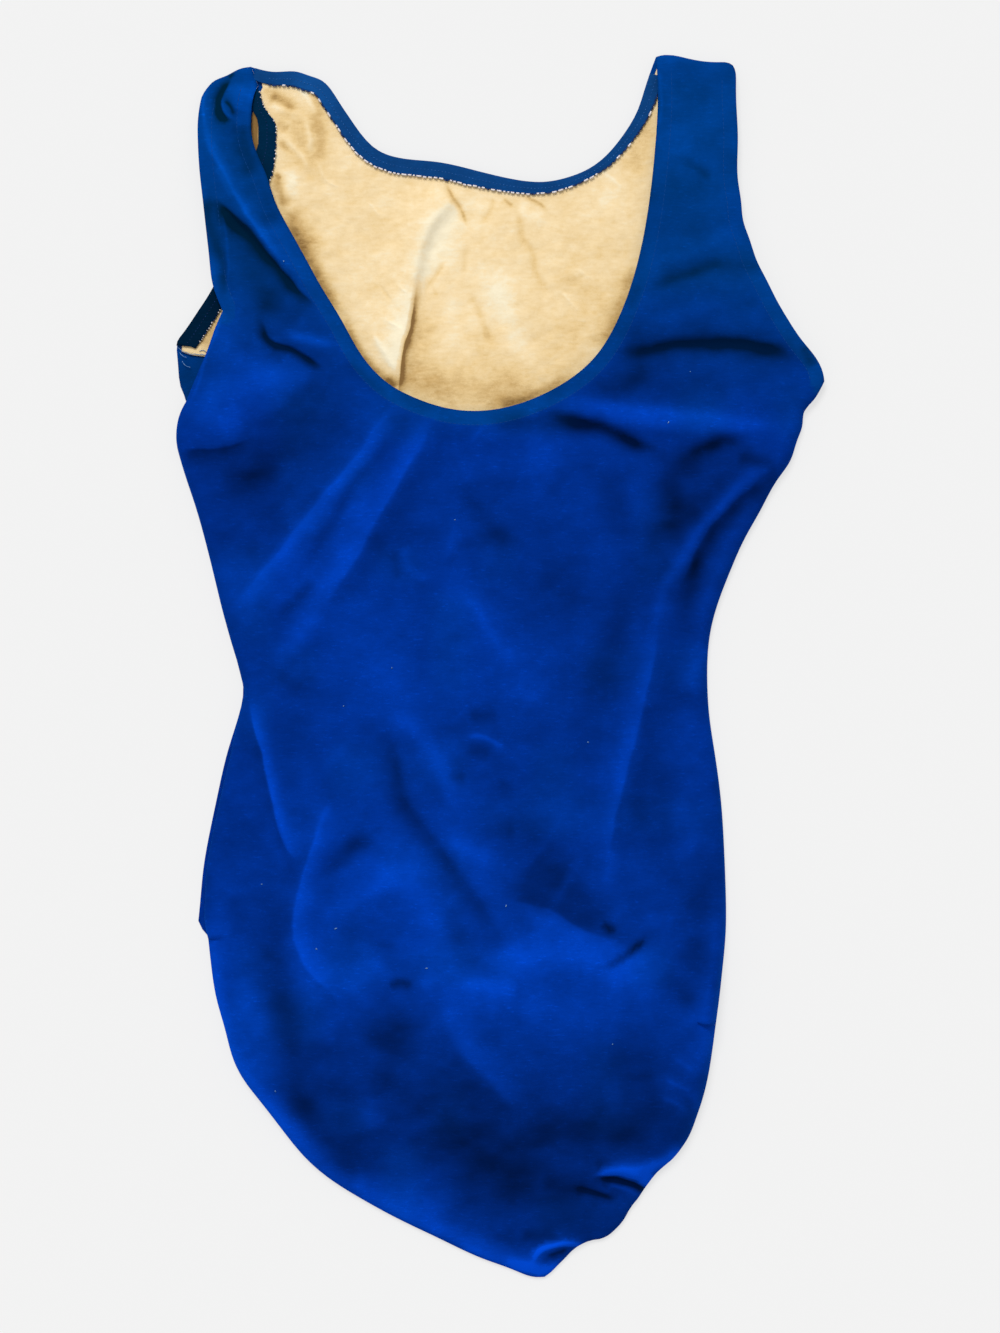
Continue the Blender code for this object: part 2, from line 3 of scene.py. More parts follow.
import bpy
import numpy as np
from mathutils.geometry import delaunay_2d_cdt
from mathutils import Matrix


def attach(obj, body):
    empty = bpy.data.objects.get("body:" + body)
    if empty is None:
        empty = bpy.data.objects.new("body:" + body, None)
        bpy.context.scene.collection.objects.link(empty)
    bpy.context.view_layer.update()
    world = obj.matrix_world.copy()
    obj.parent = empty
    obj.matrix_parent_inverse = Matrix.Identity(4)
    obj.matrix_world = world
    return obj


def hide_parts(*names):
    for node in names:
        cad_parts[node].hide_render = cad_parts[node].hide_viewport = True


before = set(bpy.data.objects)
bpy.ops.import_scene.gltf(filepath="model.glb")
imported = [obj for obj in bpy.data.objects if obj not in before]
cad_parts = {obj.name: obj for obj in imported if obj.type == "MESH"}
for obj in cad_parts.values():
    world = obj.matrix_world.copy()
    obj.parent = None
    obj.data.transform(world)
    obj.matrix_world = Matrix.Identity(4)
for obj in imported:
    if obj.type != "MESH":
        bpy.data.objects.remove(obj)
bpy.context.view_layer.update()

# The tables of edges are in drawn millimetres, and the creases are in steps of the photo's grid
grid = {
    "millimetre": 0.001,
    "edgeMiddle": (0.5, -0.9),
    "photoStep": 0.0006,
    "photoMiddle": (500.33, 666.0),
}

# Edges of the panels, from one corner to the next: columns x, y
edges = {
    "neckBack": [
        (94, 365), (95, 340), (94, 318), (90, 279), (86, 255), (80, 231), (71, 207),
        (56, 183), (42, 171), (24, 161), (3, 154), (-13, 152), (-33, 154), (-51, 160),
        (-66, 168), (-76, 177), (-85, 189), (-95, 207), (-106, 225), (-116, 243),
        (-126, 261), (-135, 279), (-140, 294), (-146, 308), (-149, 320), (-149, 330),
        (-148, 339), (-145, 348),
    ],
    "shoulderLeft": [(-145, 348), (-147, 353), (-149, 359)],
    "leftFold": [(-149, 359), (-156, 358), (-164, 354), (-171, 351), (-176, 346), (-179, 341)],
    "armholeLeftBack": [
        (-179, 341), (-181, 327), (-181, 314), (-180, 297), (-178, 279), (-176, 261),
        (-174, 243), (-172, 228), (-169, 219), (-166, 212),
    ],
    "tuckLeft": [(-166, 212), (-170, 203), (-175, 189), (-180, 177), (-185, 165), (-188, 158)],
    "sideLeft": [
        (-188, 158), (-192, 150), (-194, 141), (-194, 133), (-192, 124), (-188, 111),
        (-183, 96), (-177, 75), (-171, 51), (-165, 27), (-158, 3), (-153, -17),
    ],
    "hipLeft": [
        (-153, -17), (-156, -28), (-161, -51), (-168, -81), (-173, -105), (-176, -123),
        (-177, -141), (-177, -156), (-175, -165),
    ],
    "legLeft": [
        (-175, -165), (-173, -183), (-170, -201), (-165, -219), (-160, -237), (-154, -249),
        (-145, -261), (-131, -279), (-116, -297), (-102, -309), (-83, -321), (-61, -333),
        (-36, -345), (-10, -357), (9, -364), (21, -368), (27, -368),
    ],
    "crotch": [
        (27, -368), (31, -365), (35, -361), (40, -356), (45, -351), (50, -348), (55, -346),
        (61, -345), (70, -339), (75, -333), (79, -326), (83, -321), (87, -315), (90, -311),
    ],
    "legRight": [
        (90, -311), (93, -307), (97, -303), (104, -297), (109, -291), (114, -283),
        (118, -273), (122, -261), (125, -249), (128, -231), (130, -216),
    ],
    "sideRight": [
        (130, -216), (132, -201), (134, -183), (136, -159), (136, -138), (135, -111),
        (133, -81), (129, -51), (126, -30), (125, -15), (125, 3), (127, 21), (132, 39),
        (139, 57), (147, 75), (157, 93), (167, 111), (175, 123), (179, 135), (182, 144),
        (183, 152), (188, 158), (192, 164), (195, 170),
    ],
    "armholeRight": [
        (195, 170), (194, 175), (191, 182), (181, 195), (173, 207), (166, 219), (160, 231),
        (154, 243), (150, 255), (146, 267), (145, 277), (143, 291), (143, 315), (142, 339),
        (142, 355),
    ],
    "shoulderRight": [(142, 355), (140, 360), (130, 362), (114, 364), (98, 366), (94, 365)],
    "neckFront": [
        (94, 365), (91, 357), (87, 345), (83, 333), (80, 327), (72, 315), (61, 303),
        (52, 297), (42, 293), (27, 290), (6, 292), (-15, 297), (-38, 302), (-63, 305),
        (-73, 309), (-80, 315), (-89, 327), (-97, 339), (-107, 351), (-115, 354),
        (-121, 356), (-135, 356), (-149, 359),
    ],
    "armholeLeftFront": [
        (-145, 348), (-149, 339), (-151.5, 331), (-152, 325), (-152, 318), (-152, 312),
        (-152, 306), (-153.5, 297), (-158, 270), (-164, 249), (-172, 227), (-182, 211),
        (-191, 198), (-194, 193), (-194, 189),
    ],
    "sideLeftFront": [
        (-194, 189), (-193, 177), (-191, 165), (-188, 157), (-190, 150), (-193, 141),
        (-194, 133), (-192, 124), (-188, 111), (-183, 96), (-177, 75), (-171, 51),
        (-165, 27), (-158, 3), (-154, -15), (-156, -28), (-163, -51), (-170, -81),
        (-175, -105), (-178, -123), (-180, -144), (-181, -154),
    ],
    "legLeftFront": [
        (-181, -154), (-178, -160), (-172, -166), (-156, -186), (-120, -228), (-72, -276),
        (-24, -318), (10, -346), (27, -368),
    ],
    "legRightFront": [(90, -311), (93, -292), (101, -270), (112, -246), (122, -230), (130, -216)],
    "liningLower": [
        (-191, 188), (-185, 186), (-177, 185), (-168, 182), (-162, 172), (-157, 158),
        (-150, 145), (-136, 134), (-100, 128), (-12, 125), (50, 133), (84, 152), (104, 184),
        (114, 220), (120, 262), (123, 310), (123, 345), (118, 352), (104, 355),
    ],
}


def curveValues(at, knots, values):
    # natural cubic curve through the values
    steps = np.diff(knots)
    slopes = np.diff(values, axis=0) / steps[:, None]
    size = len(knots)
    matrix = np.eye(size)
    right = np.zeros_like(values)
    for i in range(1, size - 1):
        matrix[i, i - 1 : i + 2] = steps[i - 1], 2 * (steps[i - 1] + steps[i]), steps[i]
        right[i] = 6 * (slopes[i] - slopes[i - 1])
    bends = np.linalg.solve(matrix, right)
    k = np.clip(np.searchsorted(knots, at) - 1, 0, size - 2)
    h = steps[k][:, None]
    a = (knots[k + 1] - at)[:, None] / h
    b = 1 - a
    cubic = (a**3 - a) * bends[k] + (b**3 - b) * bends[k + 1]
    return a * values[k] + b * values[k + 1] + cubic * h**2 / 6


def spaced(line, step):
    along = np.concatenate([[0], np.cumsum(np.linalg.norm(np.diff(line, axis=0), axis=1))])
    at = np.linspace(0, along[-1], max(2, round(along[-1] / step) + 1))
    return np.stack([np.interp(at, along, line[:, k]) for k in range(line.shape[1])], axis=1)


def smoothCurve(corners, step):
    knots = np.concatenate([[0], np.cumsum(np.linalg.norm(np.diff(corners, axis=0), axis=1))])
    fine = np.linspace(0, knots[-1], 40 * len(corners))
    return spaced(curveValues(fine, knots, corners) if len(corners) > 2 else corners, step)


def fromPhoto(rows):
    offset = (np.array(rows, float) - grid["photoMiddle"]) * grid["photoStep"]
    return offset * (1, -1)


def fromDrawing(rows):
    return (np.array(rows, float) - grid["edgeMiddle"]) * grid["millimetre"]


def edgeLine(name, step, way=1):
    return smoothCurve(fromDrawing(edges[name]), step)[::way]


def edgeLoop(names, step):
    return np.concatenate([edgeLine(name.strip("-"), step, -1 if "-" in name else 1)[:-1] for name in names])


def nearest(points, line, batch=8000):
    # distance to a line, the share of its length there, and how far it lies on the left, -1 to 1
    starts, runs = line[:-1], np.diff(line, axis=0)
    lengths = np.linalg.norm(runs, axis=1)
    along = np.concatenate([[0], np.cumsum(lengths)])
    distance, place, side = (np.empty(len(points)) for _ in range(3))
    for first in range(0, len(points), batch):
        part = slice(first, first + batch)
        offset = points[part, None] - starts[None]
        share = np.clip((offset * runs).sum(2) / lengths**2, 0, 1)
        away = np.linalg.norm(offset - share[..., None] * runs, axis=2)
        best = away.argmin(axis=1)
        rows = np.arange(len(best))
        run, gap = runs[best], offset[rows, best]
        distance[part] = away[rows, best]
        place[part] = (along[best] + share[rows, best] * lengths[best]) / along[-1]
        across = (run[:, 0] * gap[:, 1] - run[:, 1] * gap[:, 0]) / lengths[best]
        side[part] = across / np.maximum(distance[part], 1e-9)
    return distance, place, side


def closedRun(loop):
    return np.concatenate([loop, loop[:1]])


def ease(t):
    t = np.clip(t, 0, 1)
    return t * t * (3 - 2 * t)


def inside(points, loop):
    found = np.zeros(len(points), bool)
    ahead = np.roll(loop, -1, axis=0)
    for (ax, ay), (bx, by) in zip(loop, ahead):
        if ay != by:
            spans = (ay > points[:, 1]) != (by > points[:, 1])
            found ^= spans & (points[:, 0] < ax + (points[:, 1] - ay) / (by - ay) * (bx - ax))
    return found


def insetLine(line, widths):
    run = np.gradient(line, axis=0)
    run /= np.linalg.norm(run, axis=1)[:, None]
    return line + np.stack([-run[:, 1], run[:, 0]], axis=1) * np.reshape(widths, (-1, 1))


stroke = {"step": 0.003, "reach": 3, "overrun": 0.08, "ease": 0.3}


def strokes(points, rows, read):
    # soft ridges, troughs or shades, each with its own width on either side and its ends eased out
    total = np.zeros(len(points))
    for _, amount, left, right, corners in rows:
        line = smoothCurve(read(corners), stroke["step"])
        reach = stroke["reach"] * max(left, right) * grid["millimetre"]
        low, high = line.min(axis=0) - reach, line.max(axis=0) + reach
        near = np.flatnonzero(((points > low) & (points < high)).all(axis=1))
        if amount and len(near):
            distance, place, side = nearest(points[near], line)
            width = (right + (left - right) * ease(0.5 + 0.5 * side)) * grid["millimetre"]
            ends = ease((place + stroke["overrun"]) / stroke["ease"])
            ends = ends * ease((1 + stroke["overrun"] - place) / stroke["ease"])
            total[near] += amount * ends * np.exp(-((distance / width) ** 2))
    return total


def heightsAndShades(creaseRows, shadeRows):
    # the strokes that shape the cloth, and those that paint shade and highlight into its colour
    heights = [(row[0], row[1], *row[3:]) for row in creaseRows]
    tones = [(row[0], row[2], *row[3:]) for row in creaseRows]
    return heights, tones + [(name, tone, width, width, line) for name, tone, width, line in shadeRows]


def wander(points, near, far):
    # nudges the points, so that creases laid on them run unevenly, as in real cloth
    drift = lambda seed: far * softNoise(points, 0.021, seed) + near * softNoise(points, 0.0075, seed + 1)
    return points + np.column_stack([drift(71), drift(73)]) * grid["millimetre"]


def foldHeight(points, folds, read):
    return strokes(points, folds, read) * grid["millimetre"]


def softNoise(points, size, seed, stretch=(1, 1), turn=0):
    # smooth uneven rise and fall from -1 to 1, about one wave to each size
    tableLength, acrossStep, upStep = 1021, 73, 179
    spin = np.array([[math.cos(turn), -math.sin(turn)], [math.sin(turn), math.cos(turn)]])
    at = points @ spin / (np.array(stretch) * size) + 500
    cell = np.floor(at).astype(int)
    t = at - cell
    t = t * t * t * (t * (6 * t - 15) + 10)
    values = np.random.default_rng(seed).uniform(-1, 1, (tableLength,))
    pick = lambda dx, dy: values[((cell[:, 0] + dx) * acrossStep + (cell[:, 1] + dy) * upStep) % tableLength]
    low = pick(0, 0) * (1 - t[:, 0]) + pick(1, 0) * t[:, 0]
    high = pick(0, 1) * (1 - t[:, 0]) + pick(1, 1) * t[:, 0]
    return low * (1 - t[:, 1]) + high * t[:, 1]


def layered(points, layers, seed=0):
    # soft noises added up: columns share, size, its own seed, stretch, turn
    total = np.zeros(len(points))
    for share, size, own, stretch, turn in layers:
        total += share * softNoise(points, size, seed + own, stretch, turn)
    return total


def hexGrid(loop, step):
    low, high = loop.min(axis=0), loop.max(axis=0)
    rowShare = 0.87
    rows = []
    for i, station in enumerate(np.arange(low[1] + step / 3, high[1], step * rowShare)):
        across = np.arange(low[0] + (i % 2) * step / 2, high[0], step)
        rows.append(np.stack([across, np.full_like(across, station)], axis=1))
    return np.concatenate(rows)


crest = {"step": 0.0017, "edgeGap": 0.0012}


def crestLines(rows, narrow, near, far):
    # where the crisp creases run, once they wander
    lines = [smoothCurve(fromPhoto(row[5]), crest["step"]) for row in rows if min(row[3:5]) < narrow]
    return [2 * line - wander(line, near, far) for line in lines]


def besideCrests(crests, depths, loop):
    # points on and beside each crest, so that the mesh follows it
    placed = np.concatenate([insetLine(line, depth) for line in crests for depth in depths])
    placed = placed[inside(placed, loop)]
    return placed[nearest(placed, closedRun(loop))[0] > crest["edgeGap"]]


def clearOf(points, crests, reach):
    kept = np.ones(len(points), bool)
    for line in crests:
        near = ((points > line.min(axis=0) - reach) & (points < line.max(axis=0) + reach)).all(axis=1)
        near = np.flatnonzero(near)
        if len(near):
            kept[near] &= nearest(points[near], line)[0] > reach
    return points[kept]


def middlePoints(loop, step, gap, crests, beside):
    # a staggered grid clear of the outline, with closer points along the crisp creases
    middle = hexGrid(loop, step)
    middle = middle[inside(middle, loop)]
    middle = middle[nearest(middle, closedRun(loop))[0] > gap]
    if not crests:
        return [middle]
    return [besideCrests(crests, beside, loop), clearOf(middle, crests, beside[-1] + step * 0.5)]


def filledLoop(loop, placed):
    # joins an outline and the points inside it into triangles
    ring = list(range(len(loop)))
    verts, _, faces, _, _, _ = delaunay_2d_cdt(
        [tuple(p) for p in np.concatenate([loop, *placed])],
        [(i, (i + 1) % len(ring)) for i in ring], [ring], 1, 1e-7,
    )
    return np.array([tuple(v) for v in verts]), [tuple(f) for f in faces], loop


def panelPlan(names, step, rings, crests=(), beside=()):
    # points of a panel: its outline, rings that follow each edge, and its middle
    loop = edgeLoop(names, step)
    run = closedRun(loop)
    placed = []
    for name in names:
        for depth in rings:
            ring = insetLine(edgeLine(name.strip("-"), step, -1 if "-" in name else 1), depth)
            ring = ring[inside(ring, loop)]
            placed.append(ring[nearest(ring, run)[0] > 0.96 * depth])
    return filledLoop(loop, placed + middlePoints(loop, step, rings[-1] + step * 0.6, crests, beside))


def sheetNormals(points, faces):
    corners = points[np.array(faces)]
    cross = np.cross(corners[:, 1] - corners[:, 0], corners[:, 2] - corners[:, 0])
    cross[cross[:, 2] < 0] *= -1
    normals = np.zeros_like(points)
    for k in range(3):
        np.add.at(normals, np.array(faces)[:, k], cross)
    return normals / np.linalg.norm(normals, axis=1)[:, None]


def rimEdges(faces):
    seen = {}
    for face in faces:
        for a, b in zip(face, face[1:] + face[:1]):
            key = (min(a, b), max(a, b))
            seen[key] = None if key in seen else (a, b)
    return [edge for edge in seen.values() if edge]


def newPiece(name, verts, faces, material):
    mesh = bpy.data.meshes.new(name)
    mesh.from_pydata(np.asarray(verts).tolist(), [], faces)
    mesh.shade_smooth()
    mesh.materials.append(material)
    piece = bpy.data.objects.new(name, mesh)
    bpy.context.scene.collection.objects.link(piece)
    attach(piece, "root")
    return piece


def clothWall(name, plan, faces, heights, thickness, material, openLines=(), openReach=0.0005):
    # outer face, the inner face below it, and the rim, which stands upright at a closed edge
    outer = np.column_stack([plan, heights])
    normals = sheetNormals(outer, faces)
    rim = rimEdges(faces)
    outward = {}
    for a, b in rim:
        run = plan[b] - plan[a]
        for v in (a, b):
            outward[v] = outward.get(v, 0) + np.array([run[1], -run[0]]) / np.linalg.norm(run)
    for v, side in outward.items():
        normals[v] = (0, 0, 1)
        if openLines and min(nearest(plan[v : v + 1], line)[0][0] for line in openLines) > openReach:
            normals[v] = (*(side / np.linalg.norm(side)), 0.0)
    inner = outer - normals * thickness
    count = len(plan)
    under = [tuple(count + v for v in reversed(face)) for face in faces]
    sides = [(b, a, a + count, b + count) for a, b in rim]
    return newPiece(name, np.concatenate([outer, inner]), [*faces, *under, *sides], material)


def tubes(name, runs, radius, material, sides=5):
    # threads: each run of points becomes a thin round tube with closed ends
    verts, faces = [], []
    for run in runs:
        run = np.asarray(run, float)
        ahead = np.gradient(run, axis=0)
        ahead /= np.linalg.norm(ahead, axis=1)[:, None] + 1e-12
        across = np.cross(ahead, (0.0, 0.0, 1.0))
        across /= np.linalg.norm(across, axis=1)[:, None] + 1e-12
        upward = np.cross(across, ahead)
        first = len(verts)
        for k in range(sides):
            turn = 2 * math.pi * k / sides
            ring = run + radius * (math.cos(turn) * across + math.sin(turn) * upward)
            verts += ring.tolist()
        count = len(run)
        for k in range(sides):
            a, b = first + k * count, first + (k + 1) % sides * count
            faces += [(a + i, a + i + 1, b + i + 1, b + i) for i in range(count - 1)]
        faces.append(tuple(first + k * count for k in range(sides)))
        faces.append(tuple(first + k * count + count - 1 for k in reversed(range(sides))))
    return newPiece(name, verts, faces, material)


# Materials

class Wire:
    # wraps a node's output, so that values combine as plain expressions
    def __init__(self, tree, socket):
        self.tree, self.socket = tree, socket

    def node(self, kind, settings=None, inputs=None, out=0):
        made = self.tree.nodes.new(kind)
        for name, value in (settings or {}).items():
            if name == "stops":
                ramp = made.color_ramp.elements
                while len(ramp) < len(value):
                    ramp.new(1.0)
                for stop, (place, colour) in zip(ramp, value):
                    stop.position, stop.color = place, (*colour, 1.0)
            else:
                setattr(made, name, value)
        for name, value in (inputs or {}).items():
            if isinstance(value, Wire):
                self.tree.links.new(value.socket, made.inputs[name])
            else:
                made.inputs[name].default_value = value
        return Wire(self.tree, made.outputs[out])

    def maths(self, operation, first, second):
        return self.node("ShaderNodeMath", {"operation": operation}, {0: first, 1: second})

    def __add__(self, other):
        return self.maths("ADD", self, other)

    def __radd__(self, other):
        return self.maths("ADD", other, self)

    def __sub__(self, other):
        return self.maths("SUBTRACT", self, other)

    def __rsub__(self, other):
        return self.maths("SUBTRACT", other, self)

    def __mul__(self, other):
        return self.maths("MULTIPLY", self, other)

    def __rmul__(self, other):
        return self.maths("MULTIPLY", other, self)

    def stretched(self, factors):
        return self.node("ShaderNodeVectorMath", {"operation": "MULTIPLY"}, {0: self, 1: factors})

    def noise(self, scale, detail=2.0, roughness=0.5):
        values = {"Vector": self, "Scale": scale, "Detail": detail, "Roughness": roughness}
        return self.node("ShaderNodeTexNoise", None, values)

    def between(self, low, high, curve="SMOOTHSTEP"):
        values = {"Value": self, "From Min": low, "From Max": high}
        return self.node("ShaderNodeMapRange", {"interpolation_type": curve}, values)

    def near(self, value, reach):
        # 1 where this value is met, falling to 0 at the reach on either side
        away = self.node("ShaderNodeMath", {"operation": "ABSOLUTE"}, {0: self - value})
        return 1.0 - away.between(0.0, reach)

    def mixed(self, first, second):
        settings = {"data_type": "RGBA", "clamp_factor": True}
        return self.node("ShaderNodeMix", settings, {0: self, 6: first, 7: second}, 2)


def newMaterial(name):
    material = bpy.data.materials.new(name)
    material.use_nodes = True
    tree = material.node_tree
    shader = tree.nodes["Principled BSDF"]
    place = Wire(tree, tree.nodes.new("ShaderNodeTexCoord").outputs["Object"])
    return material, shader, place


def finish(shader, colour, roughness, height, bumpStrength, bumpDepth, constants):
    tree = shader.id_data
    tree.links.new(colour.socket, shader.inputs["Base Color"])
    tree.links.new(roughness.socket, shader.inputs["Roughness"])
    values = {"Strength": bumpStrength, "Distance": bumpDepth, "Height": height}
    bump = height.node("ShaderNodeBump", None, values)
    tree.links.new(bump.socket, shader.inputs["Normal"])
    for name, value in constants.items():
        shader.inputs[name].default_value = value


def linear(red, green, blue):
    shares = [v / 255 for v in (red, green, blue)]
    return tuple(v / 12.92 if v <= 0.04045 else ((v + 0.055) / 1.055) ** 2.4 for v in shares)


# the painted shade and highlight move the jersey's colour between darkest and lightest
jersey = {
    "flat": 0.232,
    "darkest": (0.0004, 0.0060, 0.040),
    "lightest": (0.0006, 0.0640, 0.620),
    "pulledDarkest": (0.0003, 0.0150, 0.040),
    "pulledLightest": (0.0005, 0.1030, 0.620),
    "sheen": 0.22,
    "sheenTint": (0.02, 0.26, 1.0),
    "bump": 0.34,
}


def jerseyMaterial(name, flat, sheen, darkest=jersey["darkest"], lightest=jersey["lightest"]):
    # cotton and elastane jersey: its colour carries the painted shade and highlight laid on the mesh, with
    # random mottling and short slubs across the body
    material, shader, place = newMaterial(name)
    paintedShading = place.node("ShaderNodeAttribute", {"attribute_name": "nap"}, out=2)
    pulled = place.node("ShaderNodeAttribute", {"attribute_name": "pulled"}, out=2)
    streak = place.stretched((95.0, 560.0, 95.0)).noise(1.0, 3.0, 0.6)
    slub = place.stretched((240.0, 860.0, 240.0)).noise(1.0, 2.0, 0.6)
    patch = place.noise(70.0, 5.0, 0.62)
    fuzz = place.noise(1300.0, 2.0, 0.7)
    lay = place.stretched((150.0, 330.0, 200.0)).noise(1.0, 2.0, 0.55)
    hair = lay.near(0.5, 0.030) * patch.between(0.46, 0.60)
    courses = place.stretched((1500.0, 900.0, 900.0)).noise(1.0, 1.0)
    uneven = (streak - 0.5) * 0.045 + (slub - 0.5) * 0.08 + (patch - 0.5) * 0.13 + (fuzz - 0.5) * 0.055
    light = (paintedShading + flat) * (1.0 + 3.3 * uneven + 0.32 * slub.between(0.62, 0.76) + 0.15 * hair)
    tone = light.between(darkest[2], lightest[2], "LINEAR")
    resting = tone.mixed((*darkest, 1), (*lightest, 1))
    stretched = tone.mixed((*jersey["pulledDarkest"], 1), (*jersey["pulledLightest"], 1))
    roughness = 0.78 + 0.14 * fuzz
    height = 0.5 * fuzz + 0.35 * courses + 0.45 * slub + 0.25 * patch
    finish(shader, pulled.mixed(resting, stretched), roughness, height, jersey["bump"], 0.0004, {
        "Sheen Weight": sheen, "Sheen Roughness": 0.4,
        "Sheen Tint": (*jersey["sheenTint"], 1), "Specular IOR Level": 0.0,
    })
    return material


# the painted shade and highlight move the lining along these stops, down to dark brown and up to pale cream
brushed = {
    "flat": 0.585,
    "stops": [
        (0.0, (142, 106, 56)), (0.22, (202, 166, 106)), (0.42, (232, 201, 145)),
        (0.62, (244, 219, 173)), (0.80, (247, 234, 202)), (1.0, (255, 244, 214)),
    ],
    "bump": 0.6,
}


def liningMaterial():
    # brushed knit: its colour carries the painted shade and highlight laid on the mesh, with the pile
    # lighter or darker at random in clumps and short flattened ticks
    material, shader, place = newMaterial("brushedLining")
    paintedShading = place.node("ShaderNodeAttribute", {"attribute_name": "nap"}, out=2)
    cloud = place.noise(42.0, 4.0, 0.6)
    clump = place.noise(230.0, 4.0, 0.65)
    tick = place.stretched((190.0, 520.0, 300.0)).noise(1.0, 3.0, 0.6)
    pile = place.noise(1400.0, 2.0, 0.7)
    uneven = (cloud - 0.5) * 0.20 + (clump - 0.5) * 0.26 + (tick - 0.5) * 0.26 + (pile - 0.5) * 0.12
    level = paintedShading + uneven + brushed["flat"]
    stops = [(at, linear(*colour)) for at, colour in brushed["stops"]]
    colour = level.node("ShaderNodeValToRGB", {"stops": stops}, {"Fac": level})
    height = 0.5 * clump + 0.35 * tick + 0.25 * pile
    finish(shader, colour, 0.86 + 0.1 * pile, height, brushed["bump"], 0.0006, {
        "Sheen Weight": 0.2, "Sheen Roughness": 0.6,
        "Sheen Tint": (1.0, 0.95, 0.85, 1), "Specular IOR Level": 0.1,
    })
    return material


def threadMaterial(name, light, dark, scale):
    material, shader, place = newMaterial(name)
    twist = place.noise(scale, 2.0)
    colour = twist.between(0.35, 0.65).mixed((*linear(*dark), 1), (*linear(*light), 1))
    finish(shader, colour, 0.6 + 0.2 * twist, twist, 0.3, 0.0002, {"Specular IOR Level": 0.2})
    return material


blueFace = jerseyMaterial("blueJersey", jersey["flat"], jersey["sheen"])
hemBlue = jerseyMaterial("turnedHem", 0.190, 0.08, (0.002, 0.0100, 0.040), (0.012, 0.150, 0.560))
# a darker copy of the hem's jersey: painted shade for the band under the left arm
hemPaintedShade = jerseyMaterial("paintedShadeHem", 0.055, 0.03, (0.0006, 0.0040, 0.012), (0.002, 0.120, 0.340))
beige = liningMaterial()
paleThread = threadMaterial("paleThread", (246, 240, 236), (196, 190, 200), 1600.0)
navyThread = threadMaterial("navyThread", (24, 58, 120), (4, 18, 52), 1600.0)
blueThread = threadMaterial("blueThread", (14, 76, 150), (6, 56, 120), 1600.0)
hazyThread = threadMaterial("hazyThread", (128, 166, 206), (44, 98, 160), 1200.0)
dotThread = threadMaterial("dotThread", (52, 112, 184), (10, 70, 140), 1200.0)
print("materials made")

# Back panel

backPanel = {
    "step": 0.0026,
    "rings": [0.0002, 0.0007, 0.0015, 0.0026, 0.0042, 0.0062, 0.0078, 0.0086, 0.0096],
    "besideCrest": [-0.0022, -0.0012, -0.0005, 0.0, 0.0005, 0.0012, 0.0022],
    "crisp": 2.3,
    "thickness": 0.0010,
    "roll": 0.0080,
    "legRoll": 0.0180,
    "calm": 0.016,
    "calmShare": 0.35,
    "seamBase": 0.0013,
    "legBase": 0.0015,
    "foldBase": 0.0003,
    "hemWidth": 0.0084,
    "stitchDip": 0.00035,
    "stitchSpread": 0.0009,
    "edgeRound": 0.0007,
    "edgeSpan": 0.0016,
    "swell": [(0.0007, 0.045, 3, (0.8, 1.5), 0.5), (0.00035, 0.02, 8, (1, 1.4), -0.4)],
    "ripple": [(0.00022, 0.008, 5, (1.4, 0.9), 0.3), (0.000132, 0.0045, 6, (1, 1), 0)],
}

backLoop = (
    "neckBack", "shoulderLeft", "leftFold", "armholeLeftBack", "tuckLeft", "sideLeft", "hipLeft",
    "legLeft", "crotch", "legRight", "sideRight", "armholeRight", "shoulderRight",
)
openEdges = ("neckBack", "armholeLeftBack", "tuckLeft", "armholeRight")
hemmedEdges = ("neckBack", "armholeLeftBack", "armholeRight")
legEdges = ("legLeft", "crotch", "legRight")

# Height of the outer face down the length: columns station, left, middle, right
sections = [
    (368, 4.0, 7.5, 7.0), (345, 4.5, 7.5, 7.2), (320, 6.5, 8.0, 7.2), (290, 8.0, 8.5, 7.4),
    (240, 8.5, 9.5, 7.6), (190, 8.8, 10.0, 8.2), (140, 9.0, 10.4, 9.0), (80, 8.6, 10.6, 9.2),
    (20, 8.4, 10.6, 9.0), (-30, 7.6, 10.8, 9.0), (-80, 6.6, 11.8, 9.2), (-130, 7.0, 13.6, 10.0),
    (-175, 8.6, 18.5, 13.0), (-215, 10.0, 23.5, 16.5), (-250, 10.2, 22.0, 16.0),
    (-285, 9.0, 16.5, 12.5), (-315, 7.5, 10.5, 9.5), (-345, 6.0, 6.8, 6.8), (-370, 5.0, 5.5, 5.5),
]

# Corners where a closed edge meets an open one: columns x, y, lift, reach
cornerLifts = [
    (195, 170, 4.6, 20), (-188, 158, 4.6, 16), (94, 365, 1.5, 6), (142, 355, 1.5, 6),
    (-145, 348, 1.5, 6), (-149, 359, 1.9, 5), (-179, 341, 2.0, 8),
]

